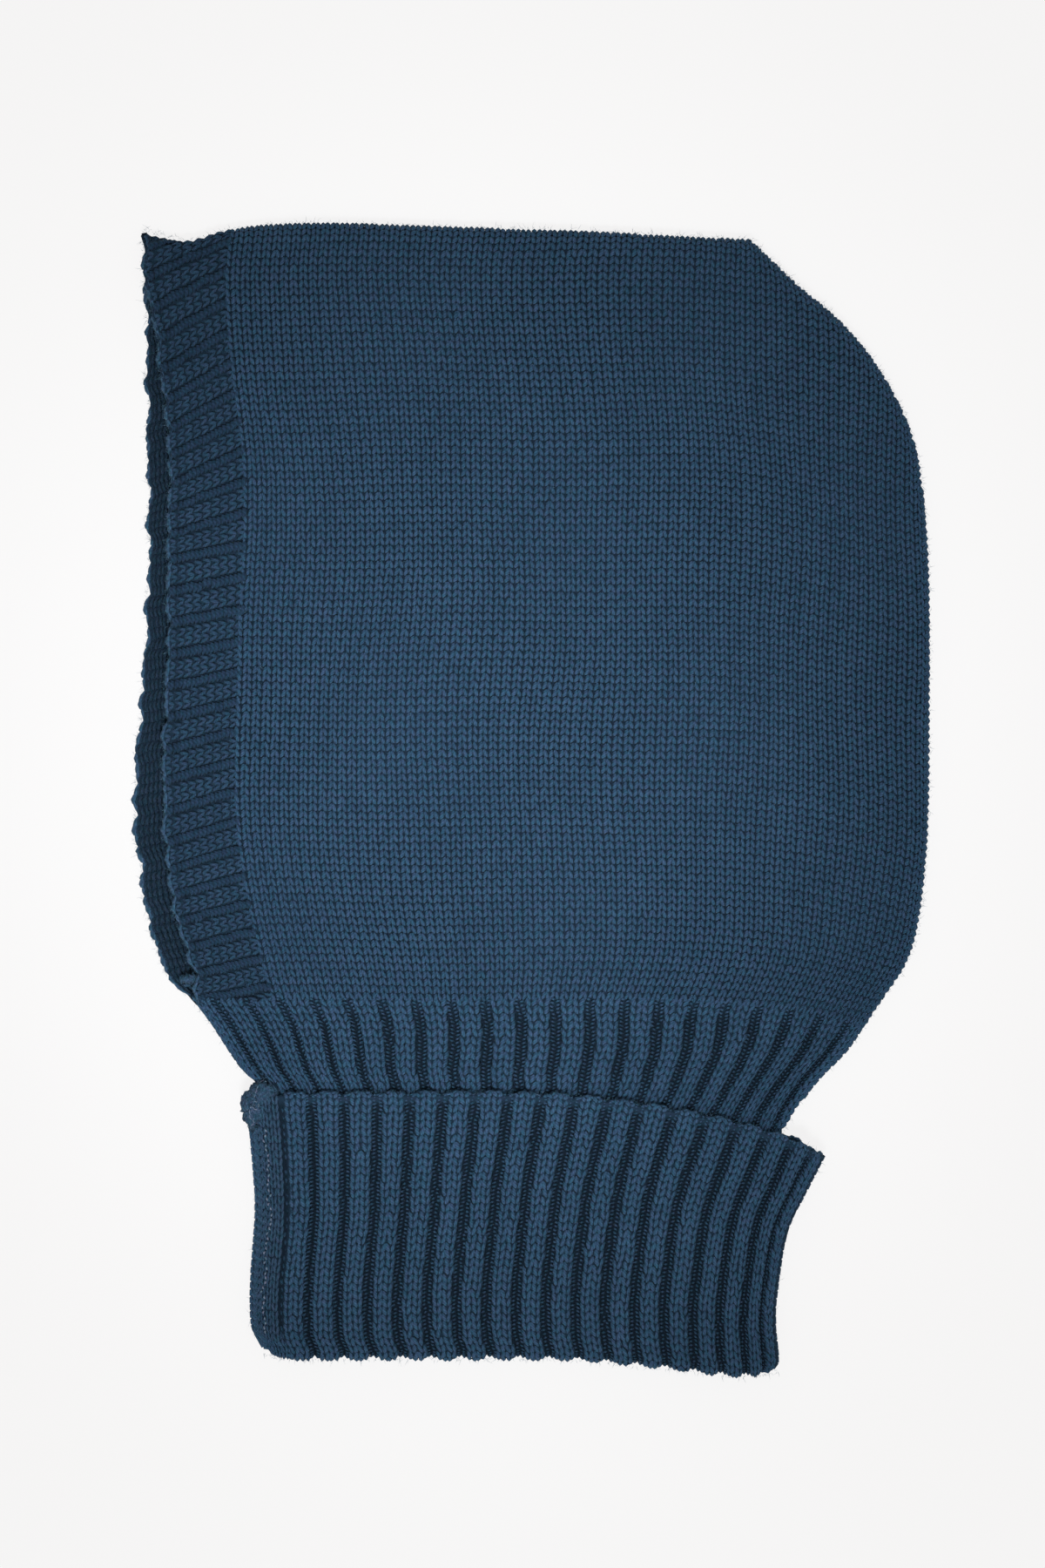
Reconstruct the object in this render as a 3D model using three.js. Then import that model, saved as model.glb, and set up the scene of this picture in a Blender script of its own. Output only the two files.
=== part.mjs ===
// A knit balaclava lying flat on one side: a stockinette hood folded at the crown and at the back of the
// head, a ribbed band along the face opening, a ribbed neck, and the end of the neck turned up as a cuff.
// Millimetres. +Z is up from the surface that it lies on, +Y runs from the neck to the crown and +X from
// the face opening to the back of the head. The origin is under the middle of the whole object.
import * as THREE from 'three';

// Thickness of the knitting, and how deep the purl troughs of the ribs are pressed into it
const STOCKINETTE_WALL = 2.4;
const RIB_WALL = 3.0;
const RIB_TROUGH = 0.9;

// Clearance between pieces that are linked together, wider along the curved seam of band and hood
const SEAM_GAP = 0.3;
const BAND_SEAM_GAP = 0.5;

// Height left open between the two layers of the neck and of the face band
const NECK_HOLLOW = 4.8;

// How much the upper layer of the hood swells above its folded edges, and over what distance
const HOOD_SWELL = 0.9;
const HOOD_SWELL_REACH = 45;

// Half heights of the flattened tubes: the hood and neck, and the cuff that is turned up around the neck
const HOOD_HALF = NECK_HOLLOW / 2 + RIB_WALL;
const CUFF_HALF = HOOD_HALF + RIB_WALL + SEAM_GAP;

// The neck climbs from the floor to the middle of the cuff between these two places
const NECK_CLIMB = { start: -68, end: -92 };

// The end of the knitting is turned back inside the cuff for this length
const CUFF_RETURN = 9;

// Ribs seen on one layer of each ribbed piece: two knit wales and one purl wale to a rib
const RIBS = { band: 26, neck: 21, cuff: 17 };

// Facets: steps across each sheet, round each folded edge and along each tube
const HOOD_STEPS = { across: 11, up: 17 };
const BAND_STEPS_ACROSS = 2;
const FOLD_STEPS = 3;
const TUBE_END_STEPS = 2;
const NECK_ROWS = [0, 0.14, 0.29, 0.48, 0.7, 1];
const CUFF_ROWS = [0, 0.3, 0.6, 1];
const CUFF_TURN_STEPS = 3;
const OUTLINE_STEPS = 80;
const BISECTIONS = 30;
const SAME_PLACE = 1e-6;

const KNIT_ROUGHNESS = 0.95;
const DARK_TEAL = { hood: 0x2c465c, band: 0x243a4f, rib: 0x28425a, seam: 0x35506a };

// Folded edge over the crown, from the corner of the face opening to the corner above the back
const CROWN_EDGE = [
  { x: -129.5, y: 188.5 },
  { x: -121.5, y: 186.8 },
  { x: -114.0, y: 185.6 },
  { x: -101.0, y: 189.7 },
  { x: -78.0, y: 192.0 },
  { x: -32.0, y: 190.9 },
  { x: 26.0, y: 188.9 },
  { x: 73.0, y: 186.5 },
];

// Folded edge down the back of the head, from that corner to the start of the neck rib
const BACK_EDGE = [
  { x: 73.0, y: 186.5 },
  { x: 88.5, y: 171.5 },
  { x: 104.5, y: 157.0 },
  { x: 116.5, y: 141.0 },
  { x: 126.5, y: 120.0 },
  { x: 131.0, y: 92.0 },
  { x: 132.7, y: 28.0 },
  { x: 131.0, y: -23.0 },
  { x: 125.5, y: -52.0 },
  { x: 117.0, y: -67.0 },
];

// Straight line across, where the hood and the band end and the rib of the neck starts
const RIB_LINE = -66.7;

// Face opening: free edge of the upper layer and of the lower layer, and the seam of band and hood
const FACE_ROWS = [
  { y: RIB_LINE, upper: -112.6, lower: -113.2, seam: -87.0 },
  { y: -60.0, upper: -114.2, lower: -120.0, seam: -88.8 },
  { y: -52.5, upper: -115.5, lower: -124.6, seam: -90.5 },
  { y: -41.0, upper: -117.5, lower: -127.6, seam: -93.2 },
  { y: -23.5, upper: -118.5, lower: -130.8, seam: -95.6 },
  { y: -2.0, upper: -119.3, lower: -132.7, seam: -97.3 },
  { y: 20.0, upper: -119.6, lower: -131.4, seam: -97.9 },
  { y: 49.0, upper: -120.2, lower: -129.2, seam: -98.2 },
  { y: 80.5, upper: -121.1, lower: -127.8, seam: -97.0 },
  { y: 115.5, upper: -120.5, lower: -128.2, seam: -96.7 },
  { y: 141.5, upper: -123.2, lower: -128.4, seam: -99.6 },
  { y: 162.0, upper: -126.2, lower: -128.6, seam: -101.9 },
  { y: 176.0, upper: -129.0, lower: -129.0, seam: -102.5 },
  { y: 188.5, upper: -129.5, lower: -129.5, seam: -101.0 },
];

// How much further out the seam of band and hood lies on the lower layer, halfway up the face opening
const SEAM_SLIDE = 8.5;

// Outline of the neck, and of its stretch inside the cuff
const NECK_LEFT_EDGE = [
  { x: -113.0, y: -67.0 },
  { x: -106.5, y: -75.0 },
  { x: -96.5, y: -89.0 },
  { x: -90.4, y: -97.0 },
  { x: -89.0, y: -112.0 },
  { x: -88.9, y: -175.2 },
];
const NECK_RIGHT_EDGE = [
  { x: 117.0, y: -67.0 },
  { x: 107.0, y: -81.0 },
  { x: 92.5, y: -96.5 },
  { x: 84.0, y: -111.0 },
  { x: 77.8, y: -142.0 },
  { x: 77.2, y: -179.3 },
];

// Outline of the turned-up cuff: its linked free edge at the top and its folded edge at the bottom
const CUFF_LEFT_EDGE = [
  { x: -95.0, y: -97.7 },
  { x: -94.2, y: -111.0 },
  { x: -92.9, y: -140.0 },
  { x: -93.8, y: -155.0 },
  { x: -93.4, y: -170.0 },
  { x: -92.5, y: -184.5 },
];
const CUFF_RIGHT_EDGE = [
  { x: 96.5, y: -118.5 },
  { x: 91.0, y: -131.0 },
  { x: 85.0, y: -143.0 },
  { x: 82.2, y: -161.0 },
  { x: 81.3, y: -172.0 },
  { x: 81.5, y: -188.6 },
];
const CUFF_TOP_EDGE = [
  { x: -95.0, y: -97.7 },
  { x: -50.0, y: -97.2 },
  { x: 8.0, y: -97.7 },
  { x: 50.0, y: -103.0 },
  { x: 85.0, y: -112.0 },
  { x: 96.5, y: -118.5 },
];
const CUFF_BOTTOM_EDGE = [
  { x: -92.5, y: -184.5 },
  { x: -60.0, y: -187.1 },
  { x: 20.0, y: -188.2 },
  { x: 60.0, y: -189.4 },
  { x: 81.5, y: -188.6 },
];

// Exposed seam of the cuff: a flat strip of joined edges beside its left fold
const SEAM_STRIP = { from: 4.5, width: 7.5, thickness: 1.4, top: 0.02, bottom: 0.93 };
const SEAM_STEPS = { across: 3, down: 9 };

const QUARTER_TURN = Math.PI / 2;

function mix(a, b, share) {
  return a * (1 - share) + b * share;
}

function smooth(share) {
  const t = THREE.MathUtils.clamp(share, 0, 1);
  return t * t * (3 - 2 * t);
}

function edgeCurve(points) {
  const places = points.map(({ x, y }) => new THREE.Vector3(x, y, 0));
  return new THREE.CatmullRomCurve3(places, false, 'centripetal');
}

// Value of one column of the face table at height y
function faceColumn(name, y) {
  const last = FACE_ROWS.length - 1;
  const above = FACE_ROWS.findIndex((row) => row.y > y);
  const i = above < 0 ? last - 1 : Math.max(above - 1, 0);
  const [a, b] = [FACE_ROWS[i], FACE_ROWS[i + 1]];
  const before = FACE_ROWS[Math.max(i - 1, 0)];
  const after = FACE_ROWS[Math.min(i + 2, last)];
  const t = THREE.MathUtils.clamp((y - a.y) / (b.y - a.y), 0, 1);
  const rise = b.y - a.y;
  const slopeA = (b[name] - before[name]) / (b.y - before.y) * rise;
  const slopeB = (after[name] - a[name]) / (after.y - a.y) * rise;
  const [t2, t3] = [t * t, t * t * t];
  return (2 * t3 - 3 * t2 + 1) * a[name] + (t3 - 2 * t2 + t) * slopeA
    + (3 * t2 - 2 * t3) * b[name] + (t3 - t2) * slopeB;
}

// Patch between four edges, each a function of 0..1 that gives a point of the plan
function coonsPatch({ left, right, top, bottom }) {
  return (u, v) => {
    const point = new THREE.Vector2();
    for (const axis of ['x', 'y']) {
      const across = mix(left(v)[axis], right(v)[axis], u);
      const along = mix(bottom(u)[axis], top(u)[axis], v);
      const corners = mix(
        mix(bottom(0)[axis], bottom(1)[axis], u),
        mix(top(0)[axis], top(1)[axis], u),
        v,
      );
      point[axis] = across + along - corners;
    }
    return point;
  };
}

// Closed wall of cloth from a grid of points on its outer skin (side 0) and inner skin (side 1). Each edge
// of the grid named in rims is closed across the thickness, and weld gives the column whose points a point
// shares, where the grid closes on itself.
function clothWall({ columns, rows, point, rims, weld = (i) => i }) {
  const numbers = new Map();
  const places = [];
  const faces = [];
  const at = (i, j, side) => {
    const column = weld(i, j);
    const key = `${column} ${j} ${side}`;
    if (!numbers.has(key)) {
      numbers.set(key, places.length);
      places.push(point(column, j, side));
    }
    return numbers.get(key);
  };
  const quad = (a, b, c, d) => faces.push(a, b, c, a, c, d);
  for (let i = 0; i < columns; i += 1) {
    for (let j = 0; j < rows; j += 1) {
      quad(at(i, j, 0), at(i + 1, j, 0), at(i + 1, j + 1, 0), at(i, j + 1, 0));
      quad(at(i, j, 1), at(i, j + 1, 1), at(i + 1, j + 1, 1), at(i + 1, j, 1));
    }
  }
  for (let i = 0; i < columns; i += 1) {
    if (rims.bottom) quad(at(i, 0, 0), at(i, 0, 1), at(i + 1, 0, 1), at(i + 1, 0, 0));
    if (rims.top) quad(at(i, rows, 0), at(i + 1, rows, 0), at(i + 1, rows, 1), at(i, rows, 1));
  }
  for (let j = 0; j < rows; j += 1) {
    if (rims.left) quad(at(0, j, 0), at(0, j + 1, 0), at(0, j + 1, 1), at(0, j, 1));
    if (rims.right) {
      quad(at(columns, j, 0), at(columns, j, 1), at(columns, j + 1, 1), at(columns, j + 1, 0));
    }
  }
  const geometry = new THREE.BufferGeometry().setFromPoints(places);
  geometry.setIndex(faces);
  geometry.computeVertexNormals();
  return geometry;
}

// Steps of 0..1 over a sheet of this length: equal steps, then finer ones over its last stretch, which is
// folded over the edge
function stepsWithFold(flatSteps, length) {
  const foldShare = (QUARTER_TURN * HOOD_HALF) / length;
  const steps = [];
  for (let k = 0; k < flatSteps; k += 1) steps.push(mix(0, 1 - foldShare, k / flatSteps));
  for (let k = 0; k <= FOLD_STEPS; k += 1) steps.push(mix(1 - foldShare, 1, k / FOLD_STEPS));
  return steps;
}

// Folded edges of the hood as a fine polyline, and the same line moved out to where it lies unfolded
const crownCurve = edgeCurve(CROWN_EDGE);
const backCurve = edgeCurve(BACK_EDGE);
const UNFOLDED_EXTRA = (QUARTER_TURN - 1) * HOOD_HALF;
const foldLine = [
  ...crownCurve.getSpacedPoints(OUTLINE_STEPS),
  ...backCurve.getSpacedPoints(OUTLINE_STEPS).slice(1),
];

// Distance of a plan point inside the folded edges, negative outside, and the nearest point of the edge
function depthInside(place) {
  let best = { distance: Infinity };
  for (let k = 0; k + 1 < foldLine.length; k += 1) {
    const [a, b] = [foldLine[k], foldLine[k + 1]];
    const [dx, dy] = [b.x - a.x, b.y - a.y];
    const share = ((place.x - a.x) * dx + (place.y - a.y) * dy) / (dx * dx + dy * dy);
    const t = THREE.MathUtils.clamp(share, 0, 1);
    const near = new THREE.Vector2(a.x + dx * t, a.y + dy * t);
    const distance = near.distanceTo(place);
    if (distance < best.distance) {
      const side = Math.sign(dy * (place.x - a.x) - dx * (place.y - a.y)) || 1;
      const length = Math.hypot(dx, dy);
      const inward = new THREE.Vector2(dy / length, -dx / length);
      best = { distance, depth: side * distance, near, inward };
    }
  }
  return best;
}

// A point of the flat cloth laid round the folded edges: the layer is +1 above and -1 below, and the inset
// is measured into the wall from its outer skin
function laidPoint(place, layer, inset) {
  const { depth, near, inward } = depthInside(place);
  const unfolded = Math.max(depth + UNFOLDED_EXTRA, 0);
  const angle = Math.min(unfolded / HOOD_HALF, QUARTER_TURN);
  const radius = HOOD_HALF - inset;
  const swell = layer > 0 ? HOOD_SWELL * smooth((depth - HOOD_HALF) / HOOD_SWELL_REACH) : 0;
  const z = HOOD_HALF + layer * radius * Math.sin(angle) + swell;
  if (angle >= QUARTER_TURN) return new THREE.Vector3(place.x, place.y, z);
  const bent = HOOD_HALF - radius * Math.cos(angle);
  const direction = Math.abs(depth) > SAME_PLACE
    ? place.clone().sub(near).multiplyScalar(1 / depth)
    : inward;
  return new THREE.Vector3(near.x + direction.x * bent, near.y + direction.y * bent, z);
}

function movedOut(curve) {
  return (t) => {
    const at = curve.getPointAt(t);
    const { inward } = depthInside(new THREE.Vector2(at.x, at.y));
    return new THREE.Vector2(at.x - inward.x * UNFOLDED_EXTRA, at.y - inward.y * UNFOLDED_EXTRA);
  };
}

// Seam of the band on a layer: the lower layer lies a little further out than the upper one
function seamX(layer, y) {
  const share = (y - RIB_LINE) / (FACE_ROWS.at(-1).y - RIB_LINE);
  const slide = layer > 0 ? 0 : SEAM_SLIDE * Math.sin(Math.PI * THREE.MathUtils.clamp(share, 0, 1));
  return faceColumn('seam', y) - slide;
}

// Share of the length of a curve that runs towards +X at which it reaches x
function shareAtX(curve, x) {
  let [low, high] = [0, 1];
  for (let step = 0; step < BISECTIONS; step += 1) {
    const middle = (low + high) / 2;
    if (curve.getPointAt(middle).x < x) low = middle;
    else high = middle;
  }
  return low;
}

const crownOut = movedOut(crownCurve);
const backOut = movedOut(backCurve);
const backCorner = backOut(0).add(crownOut(1)).multiplyScalar(0.5);
const seamShare = shareAtX(crownCurve, FACE_ROWS.at(-1).seam);
const HOOD_DEPTH = BACK_EDGE[0].x - FACE_ROWS.at(-1).seam + HOOD_HALF;
const HOOD_HEIGHT = FACE_ROWS.at(-1).y - RIB_LINE;

// Hood: both layers in one sheet, which is folded at the back and at the crown and open at face and neck
function hoodBody() {
  const patches = [1, -1].map((layer) => {
    const top = (u) => {
      if (u === 1) return backCorner;
      return crownOut(mix(seamShare, 1, u));
    };
    const start = top(0);
    const left = (v) => {
      const y = mix(RIB_LINE, start.y, v);
      return new THREE.Vector2(v === 1 ? start.x : seamX(layer, y), y);
    };
    const right = (v) => {
      if (v === 0) return new THREE.Vector2(BACK_EDGE.at(-1).x + UNFOLDED_EXTRA, RIB_LINE);
      return v === 1 ? backCorner : backOut(1 - v);
    };
    const bottom = (u) => new THREE.Vector2(mix(left(0).x, right(0).x, u), RIB_LINE);
    return coonsPatch({ left, right, top, bottom });
  });
  const us = stepsWithFold(HOOD_STEPS.across, HOOD_DEPTH);
  const vs = stepsWithFold(HOOD_STEPS.up, HOOD_HEIGHT);
  const half = us.length - 1;
  const point = (i, j, side) => {
    const onUpper = i <= half;
    const u = us[onUpper ? i : 2 * half - i];
    const place = patches[onUpper ? 0 : 1](u, vs[j]);
    const laid = laidPoint(place, onUpper ? 1 : -1, side * STOCKINETTE_WALL);
    if (j === 0) laid.y = RIB_LINE;
    return laid;
  };
  return clothWall({
    columns: 2 * half,
    rows: vs.length - 1,
    point,
    rims: { left: true, right: true, bottom: true },
    weld: (i, j) => (j === vs.length - 1 ? Math.min(i, 2 * half - i) : i),
  });
}

// Face band: a ribbed strip from one end at the chin, over the crown fold, to the other end at the chin
function faceBand() {
  const patches = [1, -1].map((layer) => {
    const freeEdge = layer > 0 ? 'upper' : 'lower';
    const top = (u) => {
      const at = crownOut(mix(0, seamShare, u));
      at.x -= u * BAND_SEAM_GAP;
      return at;
    };
    const left = (v) => {
      const y = mix(RIB_LINE, top(0).y, v);
      return new THREE.Vector2(v === 1 ? top(0).x : faceColumn(freeEdge, y), y);
    };
    const right = (v) => {
      const y = mix(RIB_LINE, top(1).y, v);
      return new THREE.Vector2(v === 1 ? top(1).x : seamX(layer, y) - BAND_SEAM_GAP, y);
    };
    const bottom = (u) => new THREE.Vector2(mix(left(0).x, right(0).x, u), RIB_LINE);
    return coonsPatch({ left, right, top, bottom });
  });
  const vs = stepsWithFold(2 * RIBS.band, HOOD_HEIGHT);
  const half = vs.length - 1;
  const point = (i, j, side) => {
    const onUpper = j <= half;
    const row = onUpper ? j : 2 * half - j;
    const inTrough = side === 0 && row % 2 === 1 && row < half;
    const place = patches[onUpper ? 0 : 1](i / BAND_STEPS_ACROSS, vs[row]);
    const inset = side === 1 ? RIB_WALL : Number(inTrough) * RIB_TROUGH;
    return laidPoint(place, onUpper ? 1 : -1, inset);
  };
  return clothWall({
    columns: BAND_STEPS_ACROSS,
    rows: 2 * half,
    point,
    rims: { left: true, right: true, bottom: true, top: true },
  });
}

// Columns of a flattened tube, under the lower layer from left to right and back over the upper one. Each
// has its share of the flat stretch across, or its angle round the fold at one end.
function tubeColumns(ribs) {
  const start = [];
  for (let k = 0; k < TUBE_END_STEPS; k += 1) {
    start.push({ angle: QUARTER_TURN * (k / TUBE_END_STEPS), atLeft: true });
  }
  const flat = [];
  for (let k = 0; k <= 2 * ribs; k += 1) {
    flat.push({ share: k / (2 * ribs), trough: k % 2 === 1 });
  }
  const finish = start.map((end) => ({ ...end, atLeft: false })).reverse();
  const lower = [...start, ...flat, ...finish];
  const upper = lower.slice(1, -1).reverse();
  return [
    ...lower.map((column) => ({ ...column, layer: -1 })),
    ...upper.map((column) => ({ ...column, layer: 1 })),
  ];
}

// Point of a flattened tube: half is half its height outside, and middle is the height of its middle
function tubePoint({ patch, column, v, half, middle, inset }) {
  const width = patch(1, v).x - patch(0, v).x;
  const radius = half - inset;
  if (column.angle === undefined) {
    const place = patch(mix(half / width, 1 - half / width, column.share), v);
    return new THREE.Vector3(place.x, place.y, middle + column.layer * radius);
  }
  const across = (half - radius * Math.cos(column.angle)) / width;
  const place = patch(column.atLeft ? across : 1 - across, v);
  return new THREE.Vector3(place.x, place.y, middle + column.layer * radius * Math.sin(column.angle));
}

function tubePatch(leftPoints, rightPoints, top, bottom) {
  const [leftCurve, rightCurve] = [edgeCurve(leftPoints), edgeCurve(rightPoints)];
  return coonsPatch({
    left: (v) => leftCurve.getPointAt(v),
    right: (v) => rightCurve.getPointAt(v),
    bottom: top,
    top: bottom,
  });
}

const cuffTopCurve = edgeCurve(CUFF_TOP_EDGE);
const cuffBottomCurve = edgeCurve(CUFF_BOTTOM_EDGE);

// Neck: a ribbed tube from the edge of the hood down to the returned end of the cuff
function neckRib() {
  const [topLeft, topRight] = [NECK_LEFT_EDGE[0], NECK_RIGHT_EDGE[0]];
  const [endLeft, endRight] = [NECK_LEFT_EDGE.at(-1), NECK_RIGHT_EDGE.at(-1)];
  const top = (u) => new THREE.Vector2(mix(topLeft.x, topRight.x, u), topLeft.y);
  const end = (u) => {
    const y = cuffBottomCurve.getPointAt(u).y + CUFF_RETURN + SEAM_GAP;
    return new THREE.Vector2(mix(endLeft.x, endRight.x, u), y);
  };
  const patch = tubePatch(NECK_LEFT_EDGE, NECK_RIGHT_EDGE, top, end);
  const columns = tubeColumns(RIBS.neck);
  const point = (i, j, side) => {
    const column = columns[i];
    const v = NECK_ROWS[j];
    const y = patch(0.5, v).y;
    const climb = smooth((NECK_CLIMB.start - y) / (NECK_CLIMB.start - NECK_CLIMB.end));
    const inset = side === 1 ? RIB_WALL : Number(Boolean(column.trough)) * RIB_TROUGH;
    const middle = mix(HOOD_HALF, CUFF_HALF, climb);
    return tubePoint({ patch, column, v, half: HOOD_HALF, middle, inset });
  };
  return clothWall({
    columns: columns.length,
    rows: NECK_ROWS.length - 1,
    point,
    rims: { bottom: true, top: true },
    weld: (i) => i % columns.length,
  });
}

const cuffPatch = tubePatch(
  CUFF_LEFT_EDGE,
  CUFF_RIGHT_EDGE,
  (u) => cuffTopCurve.getPointAt(u),
  (u) => cuffBottomCurve.getPointAt(u),
);

// Cuff: a ribbed tube up the outside of the neck, turned round its bottom fold and a short way back inside
function turnedCuff() {
  const columns = tubeColumns(RIBS.cuff);
  const middleOfTurn = RIB_WALL + SEAM_GAP / 2;
  const straightRows = CUFF_ROWS.length - 1;
  const rows = straightRows + CUFF_TURN_STEPS + 1;
  const point = (i, j, side) => {
    const column = columns[i];
    const trough = side === 0 ? Number(Boolean(column.trough)) * RIB_TROUGH : 0;
    const radius = side === 0 ? middleOfTurn - trough : SEAM_GAP / 2;
    const turned = THREE.MathUtils.clamp((j - straightRows) / CUFF_TURN_STEPS, 0, 1) * Math.PI;
    const v = CUFF_ROWS[Math.min(j, straightRows)];
    const place = tubePoint({
      patch: cuffPatch,
      column,
      v,
      half: CUFF_HALF,
      middle: CUFF_HALF,
      inset: middleOfTurn - radius * Math.cos(turned),
    });
    place.y -= radius * Math.sin(turned);
    if (j === rows) place.y += CUFF_RETURN;
    return place;
  };
  return clothWall({
    columns: columns.length,
    rows,
    point,
    rims: { bottom: true, top: true },
    weld: (i) => i % columns.length,
  });
}

// Seam strip: the joined edges of the cuff, lying flat on its upper layer beside the left fold
function cuffSeam() {
  const skin = (i, j, height) => {
    const v = mix(SEAM_STRIP.top, SEAM_STRIP.bottom, j / SEAM_STEPS.down);
    const width = cuffPatch(1, v).x - cuffPatch(0, v).x;
    const across = SEAM_STRIP.from + SEAM_STRIP.width * (1 - i / SEAM_STEPS.across);
    const place = cuffPatch(across / width, v);
    const angle = Math.acos(THREE.MathUtils.clamp((CUFF_HALF - across) / CUFF_HALF, 0, 1));
    const radius = CUFF_HALF + height;
    const bent = across < CUFF_HALF ? CUFF_HALF - radius * Math.cos(angle) : across;
    return new THREE.Vector3(place.x + bent - across, place.y, CUFF_HALF + radius * Math.sin(angle));
  };
  const point = (i, j, side) => skin(i, j, side === 0 ? SEAM_GAP + SEAM_STRIP.thickness : SEAM_GAP);
  return clothWall({
    columns: SEAM_STEPS.across,
    rows: SEAM_STEPS.down,
    point,
    rims: { left: true, right: true, bottom: true, top: true },
  });
}

function knitPiece(name, geometry, color) {
  const material = new THREE.MeshStandardMaterial({ color, roughness: KNIT_ROUGHNESS, metalness: 0 });
  const piece = new THREE.Mesh(geometry, material);
  piece.name = name;
  return piece;
}

const balaclava = new THREE.Group();
balaclava.add(
  knitPiece('hood_body', hoodBody(), DARK_TEAL.hood),
  knitPiece('face_band', faceBand(), DARK_TEAL.band),
  knitPiece('neck_rib', neckRib(), DARK_TEAL.rib),
  knitPiece('turned_cuff', turnedCuff(), DARK_TEAL.rib),
  knitPiece('cuff_seam', cuffSeam(), DARK_TEAL.seam),
);

export default balaclava;
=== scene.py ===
import bpy
import math
import numpy as np
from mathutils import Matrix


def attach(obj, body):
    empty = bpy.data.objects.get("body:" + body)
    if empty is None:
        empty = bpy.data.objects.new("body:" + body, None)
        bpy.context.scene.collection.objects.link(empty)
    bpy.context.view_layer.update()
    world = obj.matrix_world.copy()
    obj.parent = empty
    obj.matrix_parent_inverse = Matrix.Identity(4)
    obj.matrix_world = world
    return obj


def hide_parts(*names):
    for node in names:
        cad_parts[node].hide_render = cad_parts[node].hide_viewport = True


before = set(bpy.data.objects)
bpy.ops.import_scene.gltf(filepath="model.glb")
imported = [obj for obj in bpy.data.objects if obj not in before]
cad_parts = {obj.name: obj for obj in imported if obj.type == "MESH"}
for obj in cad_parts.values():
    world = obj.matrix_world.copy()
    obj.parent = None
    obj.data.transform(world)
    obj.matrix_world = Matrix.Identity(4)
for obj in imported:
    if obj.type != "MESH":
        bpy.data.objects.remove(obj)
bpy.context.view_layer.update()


# Floor, light and camera
# A white table top that glows by itself, under a broad soft light and two soft spots, one on the hood and one
# on the cuff. The camera looks straight down.
PHOTO_HEIGHT = 0.522
LENS = 100.0
SENSOR = 36.0
VIEW_CENTRE = (-0.003, 0.0052)
MIDDLE_OF_KNIT = 0.008
FLOOR_SIZE = 12.0
FLOOR_GREY = (0.12, 0.12, 0.12, 1.0)
FLOOR_GLOW = (0.96, 0.955, 0.955, 1.0)
FLOOR_GLOW_STRENGTH = 0.875
ROOM_LIGHT = (0.99, 0.95, 0.91, 1.0)
ROOM_STRENGTH = 0.45
SOFTBOX_WATTS = 3.0
SOFTBOX_SIZE = 0.9
SOFTBOX_PLACE = (0.0, -0.1, 1.3)
SPOTS = [
    {"name": "hood_light", "watts": 60.0, "angle": 0.36, "y": -0.35},
    {"name": "cuff_light", "watts": 13.0, "angle": 0.29, "y": -0.55},
]
SPOT_X = -0.02
SPOT_HEIGHT = 1.12
SPOT_LEAN = 0.38
SPOT_SOFTNESS = 0.1
SPOT_TINT = (0.96, 1.0, 1.03)


def set_inputs(node, values):
    """Values of a node's own sockets, by their names."""
    for name, value in values.items():
        node.inputs[name].default_value = value


bpy.ops.mesh.primitive_plane_add(size=FLOOR_SIZE)
floor = bpy.context.object
floor.name = "floor"
floor_finish = bpy.data.materials.new("lit_white_table")
floor_finish.use_nodes = True
set_inputs(floor_finish.node_tree.nodes["Principled BSDF"], {
    "Base Color": FLOOR_GREY,
    "Roughness": 1.0,
    "Specular IOR Level": 0.0,
    "Emission Color": FLOOR_GLOW,
    "Emission Strength": FLOOR_GLOW_STRENGTH,
})
floor.data.materials.append(floor_finish)

world = bpy.data.worlds.new("studio")
bpy.context.scene.world = world
world.use_nodes = True
set_inputs(world.node_tree.nodes["Background"], {"Color": ROOM_LIGHT, "Strength": ROOM_STRENGTH})


def lamp(name, kind, energy, place, **settings):
    """One lamp at a place, which points straight down until it is turned."""
    data = bpy.data.lights.new(name, kind)
    data.energy = energy
    for key, value in settings.items():
        setattr(data, key, value)
    holder = bpy.data.objects.new(name, data)
    holder.location = place
    bpy.context.scene.collection.objects.link(holder)
    return holder


lamp("softbox", "AREA", SOFTBOX_WATTS, SOFTBOX_PLACE, shape="SQUARE", size=SOFTBOX_SIZE)
for row in SPOTS:
    spot = lamp(
        row["name"], "SPOT", row["watts"], (SPOT_X, row["y"], SPOT_HEIGHT),
        spot_size=row["angle"], spot_blend=1.0, shadow_soft_size=SPOT_SOFTNESS, color=SPOT_TINT,
    )
    spot.rotation_euler = (math.atan2(SPOT_LEAN, SPOT_HEIGHT), 0.0, 0.0)

camera_data = bpy.data.cameras.new("camera")
camera_data.lens = LENS
camera_data.sensor_width = SENSOR
camera = bpy.data.objects.new("camera", camera_data)
camera.location = (*VIEW_CENTRE, PHOTO_HEIGHT * LENS / SENSOR + MIDDLE_OF_KNIT)
bpy.context.scene.collection.objects.link(camera)
bpy.context.scene.camera = camera
bpy.context.scene.view_settings.view_transform = "Standard"


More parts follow.
